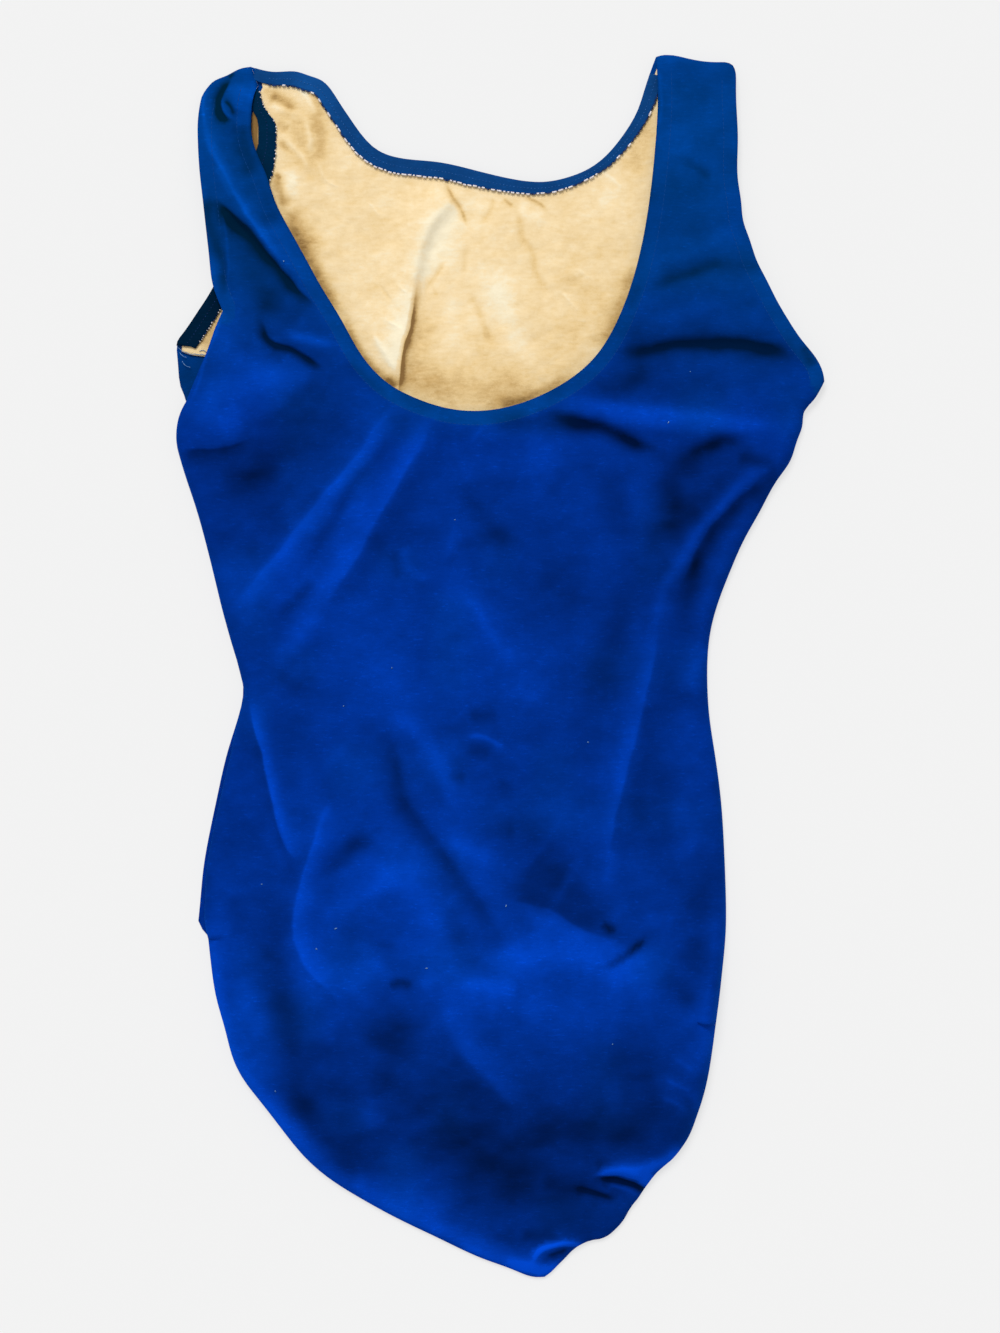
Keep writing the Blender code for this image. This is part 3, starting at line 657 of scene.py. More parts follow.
# Largest folds: columns name, height, width on the left of the run, width on the right, crest
mainFolds = [
    ("hipStep", 5.5, 34, 5, [(-153, -18), (-143, -48), (-134, -81), (-125, -111), (-117, -132)]),
    ("seatCurl", 3, 12, 10, [
        (-102, -84), (-110, -104), (-118, -128), (-122, -156), (-118, -180), (-106, -198),
    ]),
    ("chestLeft", 3.4, 16, 22, [(-110, 165), (-128, 154), (-146, 139), (-170, 131), (-190, 130)]),
    ("dragUpper", 3, 9, 11, [(-58, 151), (-80, 122), (-103, 91), (-125, 62), (-152, 39)]),
    ("dragLower", 2.6, 9, 10, [(-37, 147), (-52, 117), (-72, 84), (-96, 48), (-117, 18), (-133, -3)]),
    ("sideRidge", 4.2, 10, 17, [
        (170, 125), (147, 109), (123, 78), (105, 42), (93, 3), (84, -36), (75, -75), (67, -112),
        (64, -142),
    ]),
    ("sideTrough", -2.8, 9, 9, [(165, 117), (141, 93), (122, 63), (110, 33), (105, 6)]),
    ("chestRight", 3.4, 14, 7, [(30, 152), (60, 148), (96, 142), (132, 141), (172, 144)]),
    ("armholeTrough", -2.4, 6, 8, [(70, 186), (108, 189), (144, 190), (176, 184)]),
    ("strapCrease", -1.2, 6, 6, [(94, 228), (114, 237), (134, 242)]),
    ("strapBand", 3, 7, 5, [(-178, 322), (-166, 294), (-152, 268), (-132, 246), (-112, 224)]),
    ("strapTrough", -3.2, 5, 8, [(-163, 270), (-150, 255), (-134, 238), (-113, 220)]),
    ("strapScrunch", 4, 8, 6, [(-148, 346), (-158, 338), (-164, 330), (-160, 316)]),
    ("chestCrease", -2.2, 5, 5, [(-140, 200), (-129, 192), (-112, 182), (-100, 176)]),
    ("middleTrough", -2.4, 9, 8, [(-74, -42), (-60, -72), (-45, -102), (-28, -130), (-15, -146)]),
    ("seatHollow", -3.6, 18, 16, [(18, -106), (34, -126), (50, -146), (68, -158)]),
    ("seatRidgeLeft", 2.2, 12, 12, [(-62, -196), (-40, -214), (-18, -240), (-4, -262)]),
    ("legPucker", 3.4, 9, 4, [(58, -303), (74, -302), (87, -308)]),
    ("legCrease", -2, 5, 5, [(48, -312), (60, -317), (72, -323)]),
    ("crotchCurl", 2.6, 5, 3, [(22, -361), (30, -352), (42, -347), (54, -347)]),
]

# Creases between them, seen from above on the photo's grid: columns name, height, how much lighter it is
# painted (above zero a painted highlight, below zero painted shade), width on the left of the run, width on
# the right, crest
creases = [
    ("strapNick", -0.6, -7, 3, 3, [(680, 164), (697, 168), (712, 179)]),
    ("strapPale", 0.3, 4, 9, 9, [(672, 122), (692, 148)]),
    ("strapFold", -1.2, -11, 4, 4, [(650, 288), (690, 274), (724, 262)]),
    ("strapFoldLight", 0.7, 4, 5, 5, [(656, 262), (692, 252), (728, 238)]),
    ("strapFoldEnd", -0.4, -7, 6, 6, [(712, 274), (738, 264), (762, 264)]),
    ("armholeNick", -0.4, -4, 4, 4, [(733, 308), (745, 304), (760, 308)]),
    ("armholeLight", 0.6, 4, 5, 5, [(660, 322), (700, 312), (728, 300)]),
    ("armholeLine", -1, -13, 3, 5, [(612, 353), (650, 348), (700, 342), (750, 343), (796, 359)]),
    ("bandLight", 0.8, 16, 5, 8, [(560, 403), (620, 411), (680, 418), (740, 423), (790, 428)]),
    ("bandShade", -1.6, -22, 3, 6, [(546, 412), (575, 419), (600, 427), (628, 438), (660, 452)]),
    ("sideArc", -1, -13, 3.5, 6, [(686, 456), (708, 445), (730, 440), (746, 447)]),
    ("sideArcEnd", -0.5, -12, 5, 5, [(738, 458), (778, 466)]),
    ("waistShade", -1, -7, 10, 10, [(656, 530), (630, 600), (604, 670), (584, 745), (572, 780)]),
    ("longRidge", 1.2, 13, 5, 4.5, [
        (782, 460), (755, 475), (730, 500), (705, 527), (685, 555), (667, 585), (657, 615), (650, 645),
    ]),
    ("longShade", -0.9, -13, 8, 2.2, [(776, 468), (746, 498), (717, 526), (696, 556), (684, 586)]),
    ("waistPale", 0.4, 9, 6, 6, [(706, 640), (694, 672), (688, 694)]),
    ("bulge", 0.8, 12, 16, 14, [(296, 372), (250, 384), (216, 404), (196, 428)]),
    ("bulgeTop", 0.6, 6, 7, 7, [(312, 372), (280, 380), (246, 382)]),
    ("bulgeFoot", -1.2, -12, 1.5, 7, [(180, 452), (210, 452), (232, 449), (252, 441)]),
    ("hoodLight", 1, 12, 6, 6, [(246, 86), (242, 98), (243, 114)]),
    ("hoodLine", -1, -22, 0.9, 4.2, [
        (230, 78), (226, 88), (222, 98), (220.5, 105), (222.5, 113), (227, 119.5), (233, 122.5),
    ]),
    ("strapInside", -0.6, -12, 6, 6, [(243, 122), (246, 150), (256, 180)]),
    ("strapStripe", 1, 15, 3, 1.8, [
        (205, 118), (212, 148), (221, 170), (235, 194), (251, 221), (270, 248), (290, 272),
    ]),
    ("strapStripeLow", 0.5, 6, 1.8, 1.8, [(212, 166), (221, 182), (232, 202)]),
    ("strapRise", 0.6, 3, 7, 7, [(236, 204), (260, 232), (288, 260), (310, 290)]),
    ("strapValley", -1.6, -24, 1, 6, [
        (216, 202), (233, 217), (250, 233), (267, 253), (283, 270), (300, 290), (313, 305),
    ]),
    ("strapValleyDeep", -0.8, -8, 1, 5, [(218, 206), (234, 220), (250, 236)]),
    ("chestSmudge", -0.5, -7, 8, 8, [(262, 298), (280, 310), (302, 322)]),
    ("chestCrease", -1.4, -22, 1.4, 3.6, [
        (262, 322), (267, 336), (280, 346), (297, 352), (312, 361), (322, 368),
    ]),
    ("chestLight", 0.8, 18, 3.2, 3.2, [(288, 336), (308, 340), (332, 344)]),
    ("scoopShade", -0.5, -6, 3.5, 3.5, [(346, 360), (368, 383), (388, 399)]),
    ("dragOne", 0.8, 16, 7, 2.2, [
        (392, 408), (372, 437), (349, 468), (326, 496), (302, 525), (278, 555), (256, 583), (236, 606),
    ]),
    ("dragTwo", 0.8, 15, 2, 8, [(436, 420), (410, 462), (384, 505), (368, 538), (346, 572), (326, 604)]),
    ("dragFoot", 0.5, 11, 7, 7, [(322, 612), (302, 632), (288, 660)]),
    ("dragValley", -0.8, -5, 3.5, 3.5, [
        (388, 444), (368, 470), (350, 498), (326, 534), (304, 570), (284, 606),
    ]),
    ("dragShade", -0.4, -4, 8, 8, [(408, 480), (390, 530), (362, 566)]),
    ("scoopTick", 0.4, 5, 2, 2, [(484, 426), (470, 446)]),
    ("scoopPale", 0.3, 4, 22, 22, [(520, 462), (562, 472)]),
    ("middleShade", -0.6, -7, 7, 7, [(458, 486), (480, 516), (508, 542)]),
    ("backShade", -0.4, -4, 22, 22, [(530, 570), (570, 600), (590, 630)]),
    ("tickOne", 0.5, 5, 2.5, 2.5, [(404, 546), (412, 572), (434, 581)]),
    ("tickTwo", -0.5, -7, 3, 3, [(392, 552), (400, 580)]),
    ("tickThree", 0.5, 5, 3, 3, [(456, 520), (448, 550), (438, 576)]),
    ("middleLong", 0.8, 8, 4, 4, [(458, 592), (478, 612), (494, 640), (516, 662)]),
    ("middlePale", 0.4, 5, 9, 9, [(384, 656), (402, 694)]),
    ("grooveLight", 0.7, 13, 7, 6, [(392, 712), (422, 736), (444, 772), (456, 808)]),
    ("groove", -0.8, -11, 3.5, 8, [
        (386, 730), (394, 756), (402, 794), (420, 826), (440, 852), (460, 878), (482, 908), (500, 936),
    ]),
    ("middleTick", 0.6, 16, 1.8, 2.2, [(466, 738), (483, 738), (504, 748)]),
    ("middleTickTop", -0.6, -8, 7, 7, [(468, 718), (500, 715)]),
    ("middleTickFoot", -0.4, -7, 4, 4, [(466, 748), (492, 754)]),
    ("dimpleOne", -0.5, -9, 5, 5, [(448, 776), (468, 780)]),
    ("dimpleTwo", -0.4, -5, 4, 4, [(498, 784), (514, 786)]),
    ("dimpleThree", -0.4, -6, 6, 6, [(492, 826), (516, 830)]),
    ("dimplePale", 0.5, 13, 6, 6, [(446, 840), (470, 850), (494, 860)]),
    ("seatHollowEdge", -0.8, -9, 7, 1.3, [
        (512, 898), (532, 901), (552, 907), (576, 924), (606, 937), (620, 942),
    ]),
    ("seatHollowDeep", -0.6, -12, 15, 15, [(530, 862), (548, 876), (564, 886)]),
    ("seatNick", -0.6, -20, 2.5, 2.5, [(600, 966), (616, 962), (632, 948), (648, 936)]),
    ("longRidgeFoot", 0.5, 5, 4, 4, [(616, 846), (604, 886)]),
    ("hipLine", 0.8, 22, 5, 0.8, [
        (249, 702), (256, 728), (263, 750), (270, 784), (276, 812), (284, 842), (295, 856),
    ]),
    ("hipTick", 0.4, 5, 3, 3, [(348, 746), (322, 774)]),
    ("hipCurl", 1, 17, 11, 1.6, [
        (330, 808), (318, 836), (307, 872), (297, 903), (294, 925), (297, 947), (307, 966), (322, 982),
        (342, 996),
    ]),
    ("hipPale", 0.7, 12, 11, 11, [(336, 878), (384, 870), (412, 892), (432, 932), (448, 972)]),
    ("hipDip", -0.9, -11, 7, 6, [(322, 880), (338, 862), (356, 846), (376, 838)]),
    ("hipInside", -0.6, -5, 7, 9, [(344, 940), (360, 918), (378, 904)]),
    ("hipNick", -0.3, -4, 2.5, 2.5, [(374, 942), (394, 947)]),
    ("hipShade", -0.3, -8, 10, 11, [(272, 880), (272, 930), (280, 985), (290, 1040), (300, 1090)]),
    ("rimLeftShade", -0.4, -8, 9, 9, [(284, 1070), (308, 1112), (338, 1154), (366, 1184)]),
    ("rimBottom", 0, 22, 10, 8, [
        (254, 1094), (294, 1146), (346, 1184), (400, 1212), (452, 1234), (500, 1256), (530, 1268),
    ]),
    ("rimBottomPale", 0.6, 6, 10, 10, [(366, 1178), (410, 1196), (450, 1216)]),
    ("seatSpot", -0.8, -13, 2.6, 4, [(388, 986), (400, 981), (412, 988)]),
    ("seatWedge", -0.5, -8, 14, 14, [(410, 1004), (396, 1024), (380, 1054)]),
    ("seatSlant", 0.8, 12, 3.5, 10, [(520, 1108), (500, 1086), (476, 1060), (458, 1034), (444, 996)]),
    ("seatPale", 0.8, 13, 8, 15, [(482, 966), (520, 948), (566, 934), (602, 950), (640, 962), (664, 946)]),
    ("seatPaleLow", 0.6, 12, 5, 6, [(462, 990), (490, 984), (520, 988)]),
    ("seatDimple", -0.6, -6, 7, 7, [(492, 1012), (524, 1018)]),
    ("lowShade", 0, -12, 24, 34, [
        (694, 1106), (620, 1120), (560, 1134), (500, 1138), (440, 1104), (402, 1064),
    ]),
    ("lowShadeFoot", 0, -10, 16, 18, [(450, 1130), (490, 1180), (545, 1200), (600, 1215), (628, 1210)]),
    ("rimRightShade", -0.5, -5, 8, 8, [(696, 934), (690, 974)]),
    ("puckerOne", 0.8, 7, 2.2, 2.2, [(664, 1078), (678, 1084), (692, 1092)]),
    ("puckerTwo", 0.6, 5, 2.2, 2.2, [(660, 1096), (674, 1101), (688, 1109)]),
    ("puckerThree", 0.5, 5, 2.2, 2.2, [(672, 1058), (684, 1064), (694, 1072)]),
    ("legLight", 1, 70, 5, 0.8, [(598, 1174), (614, 1172.5), (626, 1173.5), (637, 1178), (654, 1187)]),
    ("legNick", -1.2, -28, 0.8, 3.2, [(600, 1178.5), (618, 1177.5), (630, 1181), (640, 1187), (650, 1194)]),
    ("legNickLow", -0.8, -12, 1.5, 2.4, [(578, 1186.5), (596, 1192.5), (616, 1200)]),
    ("legTick", 0.8, 6, 1.5, 1.5, [(612, 1186), (630, 1192), (642, 1199)]),
    ("curlLight", 0.8, 76, 2, 0.9, [(533, 1261), (539, 1252), (549, 1247.5), (562, 1244.5), (582, 1244)]),
    ("curlNick", -0.6, -8, 1.6, 1.6, [(550, 1262), (564, 1254)]),
    ("curlFoot", 0, 48, 4, 3.4, [(504, 1261), (518, 1267), (534, 1270), (548, 1273), (561, 1262)]),
    ("rimNick", -0.3, -2, 3, 3, [(684, 1104), (696, 1101)]),
    ("hoodRim", 0.6, 7, 1, 1, [(222.5, 97), (222.5, 105), (225, 112), (229.5, 117), (235, 120.5)]),
    ("strapEdgeLine", 0, 6, 1, 1, [(659, 62), (660, 96), (657, 132)]),
    ("armholeSeamLine", 0, 5, 1, 1, [(221, 206), (225, 235), (227, 268), (228, 300)]),
    ("backEdgeLight", 0, 8, 1, 1, [(222, 312), (215, 334), (206, 358), (196, 384), (188, 404)]),
    ("hoodInner", -0.6, -18, 1.8, 1.1, [(225, 102), (229, 105), (232.5, 109), (235.5, 117)]),
    ("dragNick", -0.4, -9, 4, 4, [(314, 580), (298, 600), (280, 618)]),
    ("curlInside", -0.6, -17, 1, 2, [(546, 1257), (556, 1253), (567, 1249)]),
    ("hoodTop", 0, -12, 1.6, 1.6, [(228, 77), (234, 72)]),
    ("strapRimLight", 0, 10, 1, 1, [(208, 88), (204, 104), (206.5, 126)]),
    ("legLightEdge", 0, 46, 4.4, 4, [(632, 1171), (652, 1166), (670, 1158), (686, 1148)]),
    ("hipTickPale", 0, 7, 2.2, 2.2, [(317, 838), (322, 820), (334, 806)]),
    ("longRidgeLow", 0.9, 11, 1.8, 7, [
        (658, 628), (650, 665), (641, 705), (632, 745), (624, 780), (612, 830), (606, 870),
    ]),
    ("seatHollowSpot", -0.4, -12, 3.2, 3.2, [(602, 922), (614, 934)]),
]

# Soft areas of painted shade and painted highlight: columns name, how much lighter, width, middle line
shades = [
    ("strapTopShade", -4, 7, [(690, 62), (692, 80), (695, 105)]),
    ("shoulderShade", -4, 12, [(630, 375), (690, 380), (745, 384)]),
    ("underArmShade", -11, 10, [(705, 460), (668, 474), (672, 505), (665, 545)]),
    ("bulgeShade", -6, 13, [(205, 478), (250, 478), (296, 450), (332, 424), (346, 384)]),
    ("flankShade", -4, 14, [(215, 520), (250, 530), (290, 500)]),
    ("hoodPocket", -9, 2.4, [(218, 108), (222, 119), (227, 124)]),
    ("rimLeft", 14, 12, [(200, 870), (206, 940), (217, 1008), (236, 1062), (258, 1094)]),
    ("rimRight", 7, 8, [(716, 900), (712, 960), (706, 1020), (698, 1062)]),
    ("centrePale", 5, 26, [(330, 600), (380, 660), (420, 740)]),
    ("centrePaleLow", 6, 18, [(430, 800), (470, 860), (500, 900)]),
    ("seatPaleWide", 6, 22, [(450, 960), (520, 1000), (600, 1000), (660, 990)]),
    ("hipPaleHigh", 5, 14, [(330, 700), (350, 760), (380, 800)]),
    ("hipPatch", 2, 9, [(400, 850), (420, 880)]),
    ("lowLeftShade", -6, 20, [(310, 1030), (330, 1080), (366, 1120)]),
    ("waistDark", -4, 9, [(282, 668), (300, 690), (296, 730)]),
    ("bulgeWide", 5, 24, [(240, 410), (214, 420)]),
    ("shoulderRimPale", 5, 6, [(206, 250), (214, 300), (212, 340)]),
    ("seatPaleSide", 3, 12, [(470, 900), (458, 960), (452, 1000)]),
    ("hipPatchLow", 6, 9, [(400, 930), (410, 960)]),
    ("hipFan", 5, 6, [(300, 760), (318, 800), (322, 830)]),
    ("waistRidgePale", 4, 14, [(590, 700), (570, 800)]),
    ("underSeat", -5, 16, [(600, 1060), (660, 1070)]),
    ("flankPale", 4, 12, [(690, 740), (700, 860)]),
    ("strapLeftShade", -4, 8, [(226, 90), (222, 120), (220, 155)]),
    ("strapValleyWide", -9, 9, [(216, 215), (240, 250), (262, 290), (268, 320)]),
    ("bulgeShoulder", 6, 8, [(213, 326), (220, 342), (230, 354)]),
    ("flankDeep", -7, 18, [(306, 380), (300, 400), (262, 450), (240, 500)]),
    ("strapRightShade", -4, 24, [(680, 170), (680, 240), (690, 310)]),
    ("shoulderBandShade", -10, 12, [(606, 344), (660, 342), (740, 344), (806, 352)]),
    ("scoopRightShade", -4, 10, [(570, 388), (610, 384), (640, 378)]),
    ("underArmDeep", -5, 16, [(746, 456), (706, 476), (690, 520), (652, 546)]),
    ("waistShadeHigh", -5, 12, [(622, 460), (618, 500), (616, 545)]),
    ("dragPale", 5, 8, [(352, 500), (322, 545), (284, 590)]),
    ("centrePaleRight", 6, 20, [(444, 560), (466, 620), (480, 670), (520, 706)]),
    ("centrePaleLeft", 3, 14, [(340, 600), (352, 640), (382, 666)]),
    ("flankRightShade", -5, 13, [(660, 690), (645, 780), (664, 850), (692, 900), (676, 985)]),
    ("hipFanPale", 13, 7, [(334, 904), (354, 898), (398, 866)]),
    ("seatPaleTop", 11, 8, [(500, 960), (540, 956), (590, 960), (634, 962)]),
    ("rimLeftPale", 15, 5, [(211, 950), (218, 1006), (230, 1050), (252, 1086), (276, 1114), (300, 1138)]),
    ("lowLeftDeep", -7, 14, [(382, 1050), (384, 1100), (360, 1146), (400, 1166)]),
    ("lowPaleRight", 5, 14, [(540, 1098), (590, 1094), (650, 1086)]),
    ("lowFootShade", -6, 9, [(412, 1130), (440, 1166)]),
    ("ridgeFootPale", 3, 8, [(636, 690), (622, 750), (612, 800)]),
    ("dragBetween", 10, 7, [(374, 480), (350, 528), (326, 580), (300, 600)]),
    ("seatPaleFoot", 6, 8, [(440, 1000), (490, 1002), (550, 1010)]),
    ("lowFootDeep", -6, 8, [(540, 1180), (590, 1188)]),
    ("seatNickWide", -8, 6, [(604, 962), (624, 954)]),
    ("hipPaleInside", 6, 16, [(330, 900), (350, 930), (372, 900)]),
    ("hipPaleLow", 9, 10, [(296, 928), (302, 962), (336, 988)]),
    ("rimLeftWide", 6, 14, [(236, 1000), (252, 1040), (280, 1074)]),
    ("flankLeftPale", 6, 12, [(214, 560), (240, 590), (268, 606)]),
    ("middlePaleRight", 7, 16, [(506, 640), (530, 670), (520, 710)]),
    ("ridgePaleHigh", 5, 10, [(536, 470), (560, 450)]),
    ("bulgePale", 1, 10, [(206, 360), (190, 400), (186, 424)]),
    ("hipPaleNear", 5, 12, [(276, 800), (300, 840), (340, 830), (392, 826)]),
    ("flankRightLow", -6, 8, [(708, 800), (708, 900), (704, 990)]),
    ("sideSoftShade", -9, 7, [(676, 556), (660, 606), (652, 640)]),
    ("bandFoot", -7, 11, [(750, 462), (716, 500), (694, 540)]),
    ("rimHigh", 9, 9, [(250, 1076), (268, 1104), (296, 1136)]),
    ("ridgeFootShade", -7, 8, [(656, 972), (676, 990), (700, 1004)]),
    ("hollowHigh", -4, 13, [(508, 812), (540, 846)]),
    ("dragTopShade", -5, 6, [(384, 420), (408, 428)]),
    ("scoopFootShade", -8, 6, [(486, 420), (536, 423), (592, 436)]),
    ("dragFootPale", 10, 8, [(264, 598), (286, 588), (304, 556)]),
    ("hipPaleTop", 5, 9, [(384, 824), (412, 848), (404, 905)]),
    ("lowLeftPale", 10, 9, [(366, 1094), (374, 1130)]),
    ("chestFold", -5, 8, [(306, 382), (330, 392)]),
    ("middleSoft", -5, 8, [(500, 540), (520, 556)]),
    ("seatHollowWide", -10, 9, [(562, 884), (582, 900), (606, 922)]),
    ("flankPatch", 5, 6, [(648, 912), (674, 926)]),
    ("curlShade", -9, 6, [(520, 1234), (540, 1238), (560, 1234)]),
    ("rimFootShade", -9, 6, [(430, 1212), (478, 1234), (530, 1246)]),
    ("rimLeftFoot", -8, 6, [(316, 1154), (360, 1182)]),
    ("hoodPale", 19, 6, [(262, 84), (254, 104)]),
    ("seatPaleCrown", 8, 5, [(524, 914), (546, 918), (562, 928)]),
    ("strapNeckShade", -9, 7, [(248, 178), (260, 194), (276, 230)]),
    ("armholeSeamShade", -12, 4, [(208, 188), (210, 236), (220, 262), (221, 298)]),
    ("legLightShade", -14, 4.5, [(596, 1164), (612, 1167)]),
    ("hipRimPale", 8, 8, [(242, 972), (254, 1012), (268, 1040)]),
    ("hipEdgeShade", -10, 6, [(204, 862), (206, 928)]),
    ("seatSideShade", -6, 8, [(444, 910), (464, 944), (478, 972)]),
    ("seatSpotPale", 9, 6, [(424, 990), (438, 970)]),
    ("scoopStrapShade", -8, 5, [(638, 282), (630, 310)]),
    ("bulgeHigh", 8, 6, [(224, 350), (246, 356)]),
    ("waistEdgeShade", -10, 7, [(700, 556), (690, 600), (686, 640)]),
    ("chestCreaseSoft", -10, 4, [(268, 352), (286, 363)]),
    ("bulgeDip", -8, 6, [(226, 384), (220, 420)]),
    ("armholeCornerShade", -12, 5, [(803, 344), (816, 368)]),
    ("legCorner", 46, 3, [(640, 1177), (652, 1185)]),
    ("rimFootEdge", 16, 3, [(460, 1246), (482, 1256), (500, 1263)]),
    ("rimNickPale", 10, 4, [(694, 1090), (700, 1108)]),
    ("hipPaleFoot", 11, 9, [(344, 990), (368, 970), (384, 956)]),
    ("hipPatchHigh", 8, 7, [(376, 834), (400, 852)]),
    ("scoopSideShade", -7, 9, [(586, 400), (620, 390), (652, 360)]),
    ("rimFlankPale", 7, 6, [(706, 1016), (702, 1050), (696, 1076)]),
]

# settings for the painted shade and highlight, its random mottling, and the greener hue where the jersey is
# pulled
nap = {
    "mottles": [
        (2.2, 0.030, 1, (1.3, 0.8), 0.3),
        (2.2, 0.012, 2, (1.4, 0.9), 0.2),
        (1.8, 0.0055, 3, (1.5, 0.9), 0.1),
    ],
    "wander": (0.5, 1.1),
    "strength": 1.06,
    "broken": 0.13,
    "edgeLight": 2.0,
    "edgeLightDepth": 0.0075,
    "edgeLightWidth": 0.002,
    "edgeShade": 5.0,
    "edgeShadeWidth": 0.0012,
    "pulled": [(130, 0.0), (185, 0.3), (235, 0.75), (290, 1.0), (370, 1.0)],
    "pulledPatches": 0.12,
    "hemPulled": 0.9,
    "bandOver": 0.0008,
    "bandSoft": 0.0014,
}
creaseHeights, creaseShades = heightsAndShades(creases, shades)


def sectionHeight(points, loop):
    table = np.array(sections[::-1], float)
    stations = points[:, 1] / grid["millimetre"] + grid["edgeMiddle"][1]
    rows = curveValues(stations, table[:, 0], table[:, 1:])
    low, high = loop[:, 0].min(), loop[:, 0].max()
    across = np.clip((points[:, 0] - low) / (high - low), 0, 1)
    middle = 1 - np.abs(2 * across - 1) ** 2
    sides = np.where(across < 0.5, rows[:, 0], rows[:, 2])
    return (sides * (1 - middle) + rows[:, 1] * middle) * grid["millimetre"]


def gapTo(points, names, step=0.004):
    # distance to the nearest of these edges
    return np.min([nearest(points, edgeLine(name, step))[0] for name in names], axis=0)


def backHeight(points, loop, detail=1.0):
    # the body's soft swell with its folds, rolled down at the closed edges
    level = sectionHeight(points, loop)
    folds = foldHeight(points, mainFolds, fromDrawing)
    folds += detail * foldHeight(wander(points, *nap["wander"]), creaseHeights, fromPhoto)
    folds += detail * (layered(points, backPanel["swell"]) + layered(points, backPanel["ripple"]))
    openGap = gapTo(points, openEdges)
    calm = backPanel["calmShare"] + (1 - backPanel["calmShare"]) * ease(openGap / backPanel["calm"])
    closeness, base, roll = np.ones(len(points)), np.zeros(len(points)), np.ones(len(points))
    for name in backLoop:
        if name in openEdges:
            continue
        distance = gapTo(points, [name])
        nearer = distance < closeness
        leg = name in legEdges
        floor = backPanel["foldBase"] if name == "leftFold" else backPanel["legBase" if leg else "seamBase"]
        closeness = np.where(nearer, distance, closeness)
        base = np.where(nearer, floor, base)
        roll = np.where(nearer, backPanel["legRoll" if leg else "roll"], roll)
    for x, y, lift, reach in cornerLifts:
        away = np.linalg.norm(points - fromDrawing([(x, y)])[0], axis=1) / grid["millimetre"]
        base = base + lift * grid["millimetre"] * np.exp(-((away / reach) ** 2))
    turned = np.sqrt(1 - (1 - np.clip(closeness / roll, 0, 1)) ** 2)
    height = base + (level + folds * calm - base) * turned
    fromStitch = (gapTo(points, hemmedEdges) - backPanel["hemWidth"]) / backPanel["stitchSpread"]
    height -= detail * backPanel["stitchDip"] * np.exp(-(fromStitch**2))
    fromEdge = np.clip(openGap / backPanel["edgeSpan"], 0, 1)
    return height - detail * backPanel["edgeRound"] * (1 - fromEdge) ** 2


def paintedShadeAndMottle(points, rows, seed):
    # painted shade and highlight, broken up at random and with random mottling, in hundredths of the light
    # that it returns
    shade = nap["strength"] * strokes(wander(points, *nap["wander"]), rows, fromPhoto)
    shade *= 1 + nap["broken"] * softNoise(points, 0.013, seed + 9, (1.3, 1.0), 0.6)
    return shade + layered(points, nap["mottles"], seed)


def paint(piece, name, values):
    # the wall's two faces share one plan, so the values are laid down twice
    values = np.tile(np.asarray(values, float), len(piece.data.vertices) // len(values))
    piece.data.attributes.new(name, "FLOAT", "POINT").data.foreach_set("value", values)


backCrests = crestLines(creases, backPanel["crisp"], *nap["wander"])
backPlan, backFaces, backRun = panelPlan(
    backLoop, backPanel["step"], backPanel["rings"], backCrests, backPanel["besideCrest"]
)
backHeights = backHeight(backPlan, backRun)
back = clothWall(
    "backPanel", backPlan, backFaces, backHeights, backPanel["thickness"], blueFace,
    [edgeLine(name, backPanel["step"]) for name in openEdges],
)
scoopGap = gapTo(backPlan, ["neckBack"], backPanel["step"])
backShades = paintedShadeAndMottle(backPlan, creaseShades, 40)
# a painted highlight a little in from the scoop's edge, and painted shade right at the edge
backShades += nap["edgeLight"] * np.exp(-(((scoopGap - nap["edgeLightDepth"]) / nap["edgeLightWidth"]) ** 2))
backShades -= nap["edgeShade"] * np.exp(-((scoopGap / nap["edgeShadeWidth"]) ** 2))
paint(back, "nap", backShades / 100)

# the jersey turns greener where it is pulled: in the hems and up the straps
bandReach = backPanel["hemWidth"] + nap["bandOver"] - gapTo(backPlan, hemmedEdges)
bandShare = nap["hemPulled"] * ease(bandReach / nap["bandSoft"])
strapShare = np.interp(backPlan[:, 1] / grid["millimetre"], *np.array(nap["pulled"]).T)
patches = nap["pulledPatches"] * softNoise(backPlan, 0.03, 91)
paint(back, "pulled", np.clip(np.maximum(bandShare, strapShare) + patches, 0, 1))
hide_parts("back_panel")
print("back panel made:", len(backFaces) * 2, "faces")

# Front panel, inside up under the back panel

frontPanel = {
    "step": 0.0055,
    "rings": [0.0006, 0.0020, 0.0045],
    "thickness": 0.0010,
    "pulled": 0.9,
    "pulledFrom": 0.14,
    "pulledOver": 0.02,
}
frontLoop = (
    "neckFront", "-shoulderLeft", "armholeLeftFront", "sideLeftFront", "legLeftFront", "crotch",
    "legRightFront", "sideRight", "armholeRight", "shoulderRight",
)
frontPlan, frontFaces, frontRun = panelPlan(frontLoop, frontPanel["step"], frontPanel["rings"])
front = clothWall(
    "frontPanel", frontPlan, frontFaces, np.full(len(frontPlan), frontPanel["thickness"]),
    frontPanel["thickness"], blueFace,
)
# painted shade under the arm and over the hip, and a painted highlight along the hip's rim
frontShadeRows = [
    ("underArm", -9, 14, 14, [(176, 352), (184, 375), (196, 400)]),
    ("hipFlat", -3, 10, 10, [(236, 720), (216, 800), (208, 900)]),
    ("hipRim", 4, 3, 3, [(242, 712), (221, 790), (207, 850), (203, 915)]),
]
paint(front, "nap", paintedShadeAndMottle(frontPlan, frontShadeRows, 60) / 100)
frontRise = (frontPlan[:, 1] - frontPanel["pulledFrom"]) / frontPanel["pulledOver"]
paint(front, "pulled", frontPanel["pulled"] * ease(frontRise))
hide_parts("front_panel")
print("front panel made:", len(frontFaces) * 2, "faces")

# Lining

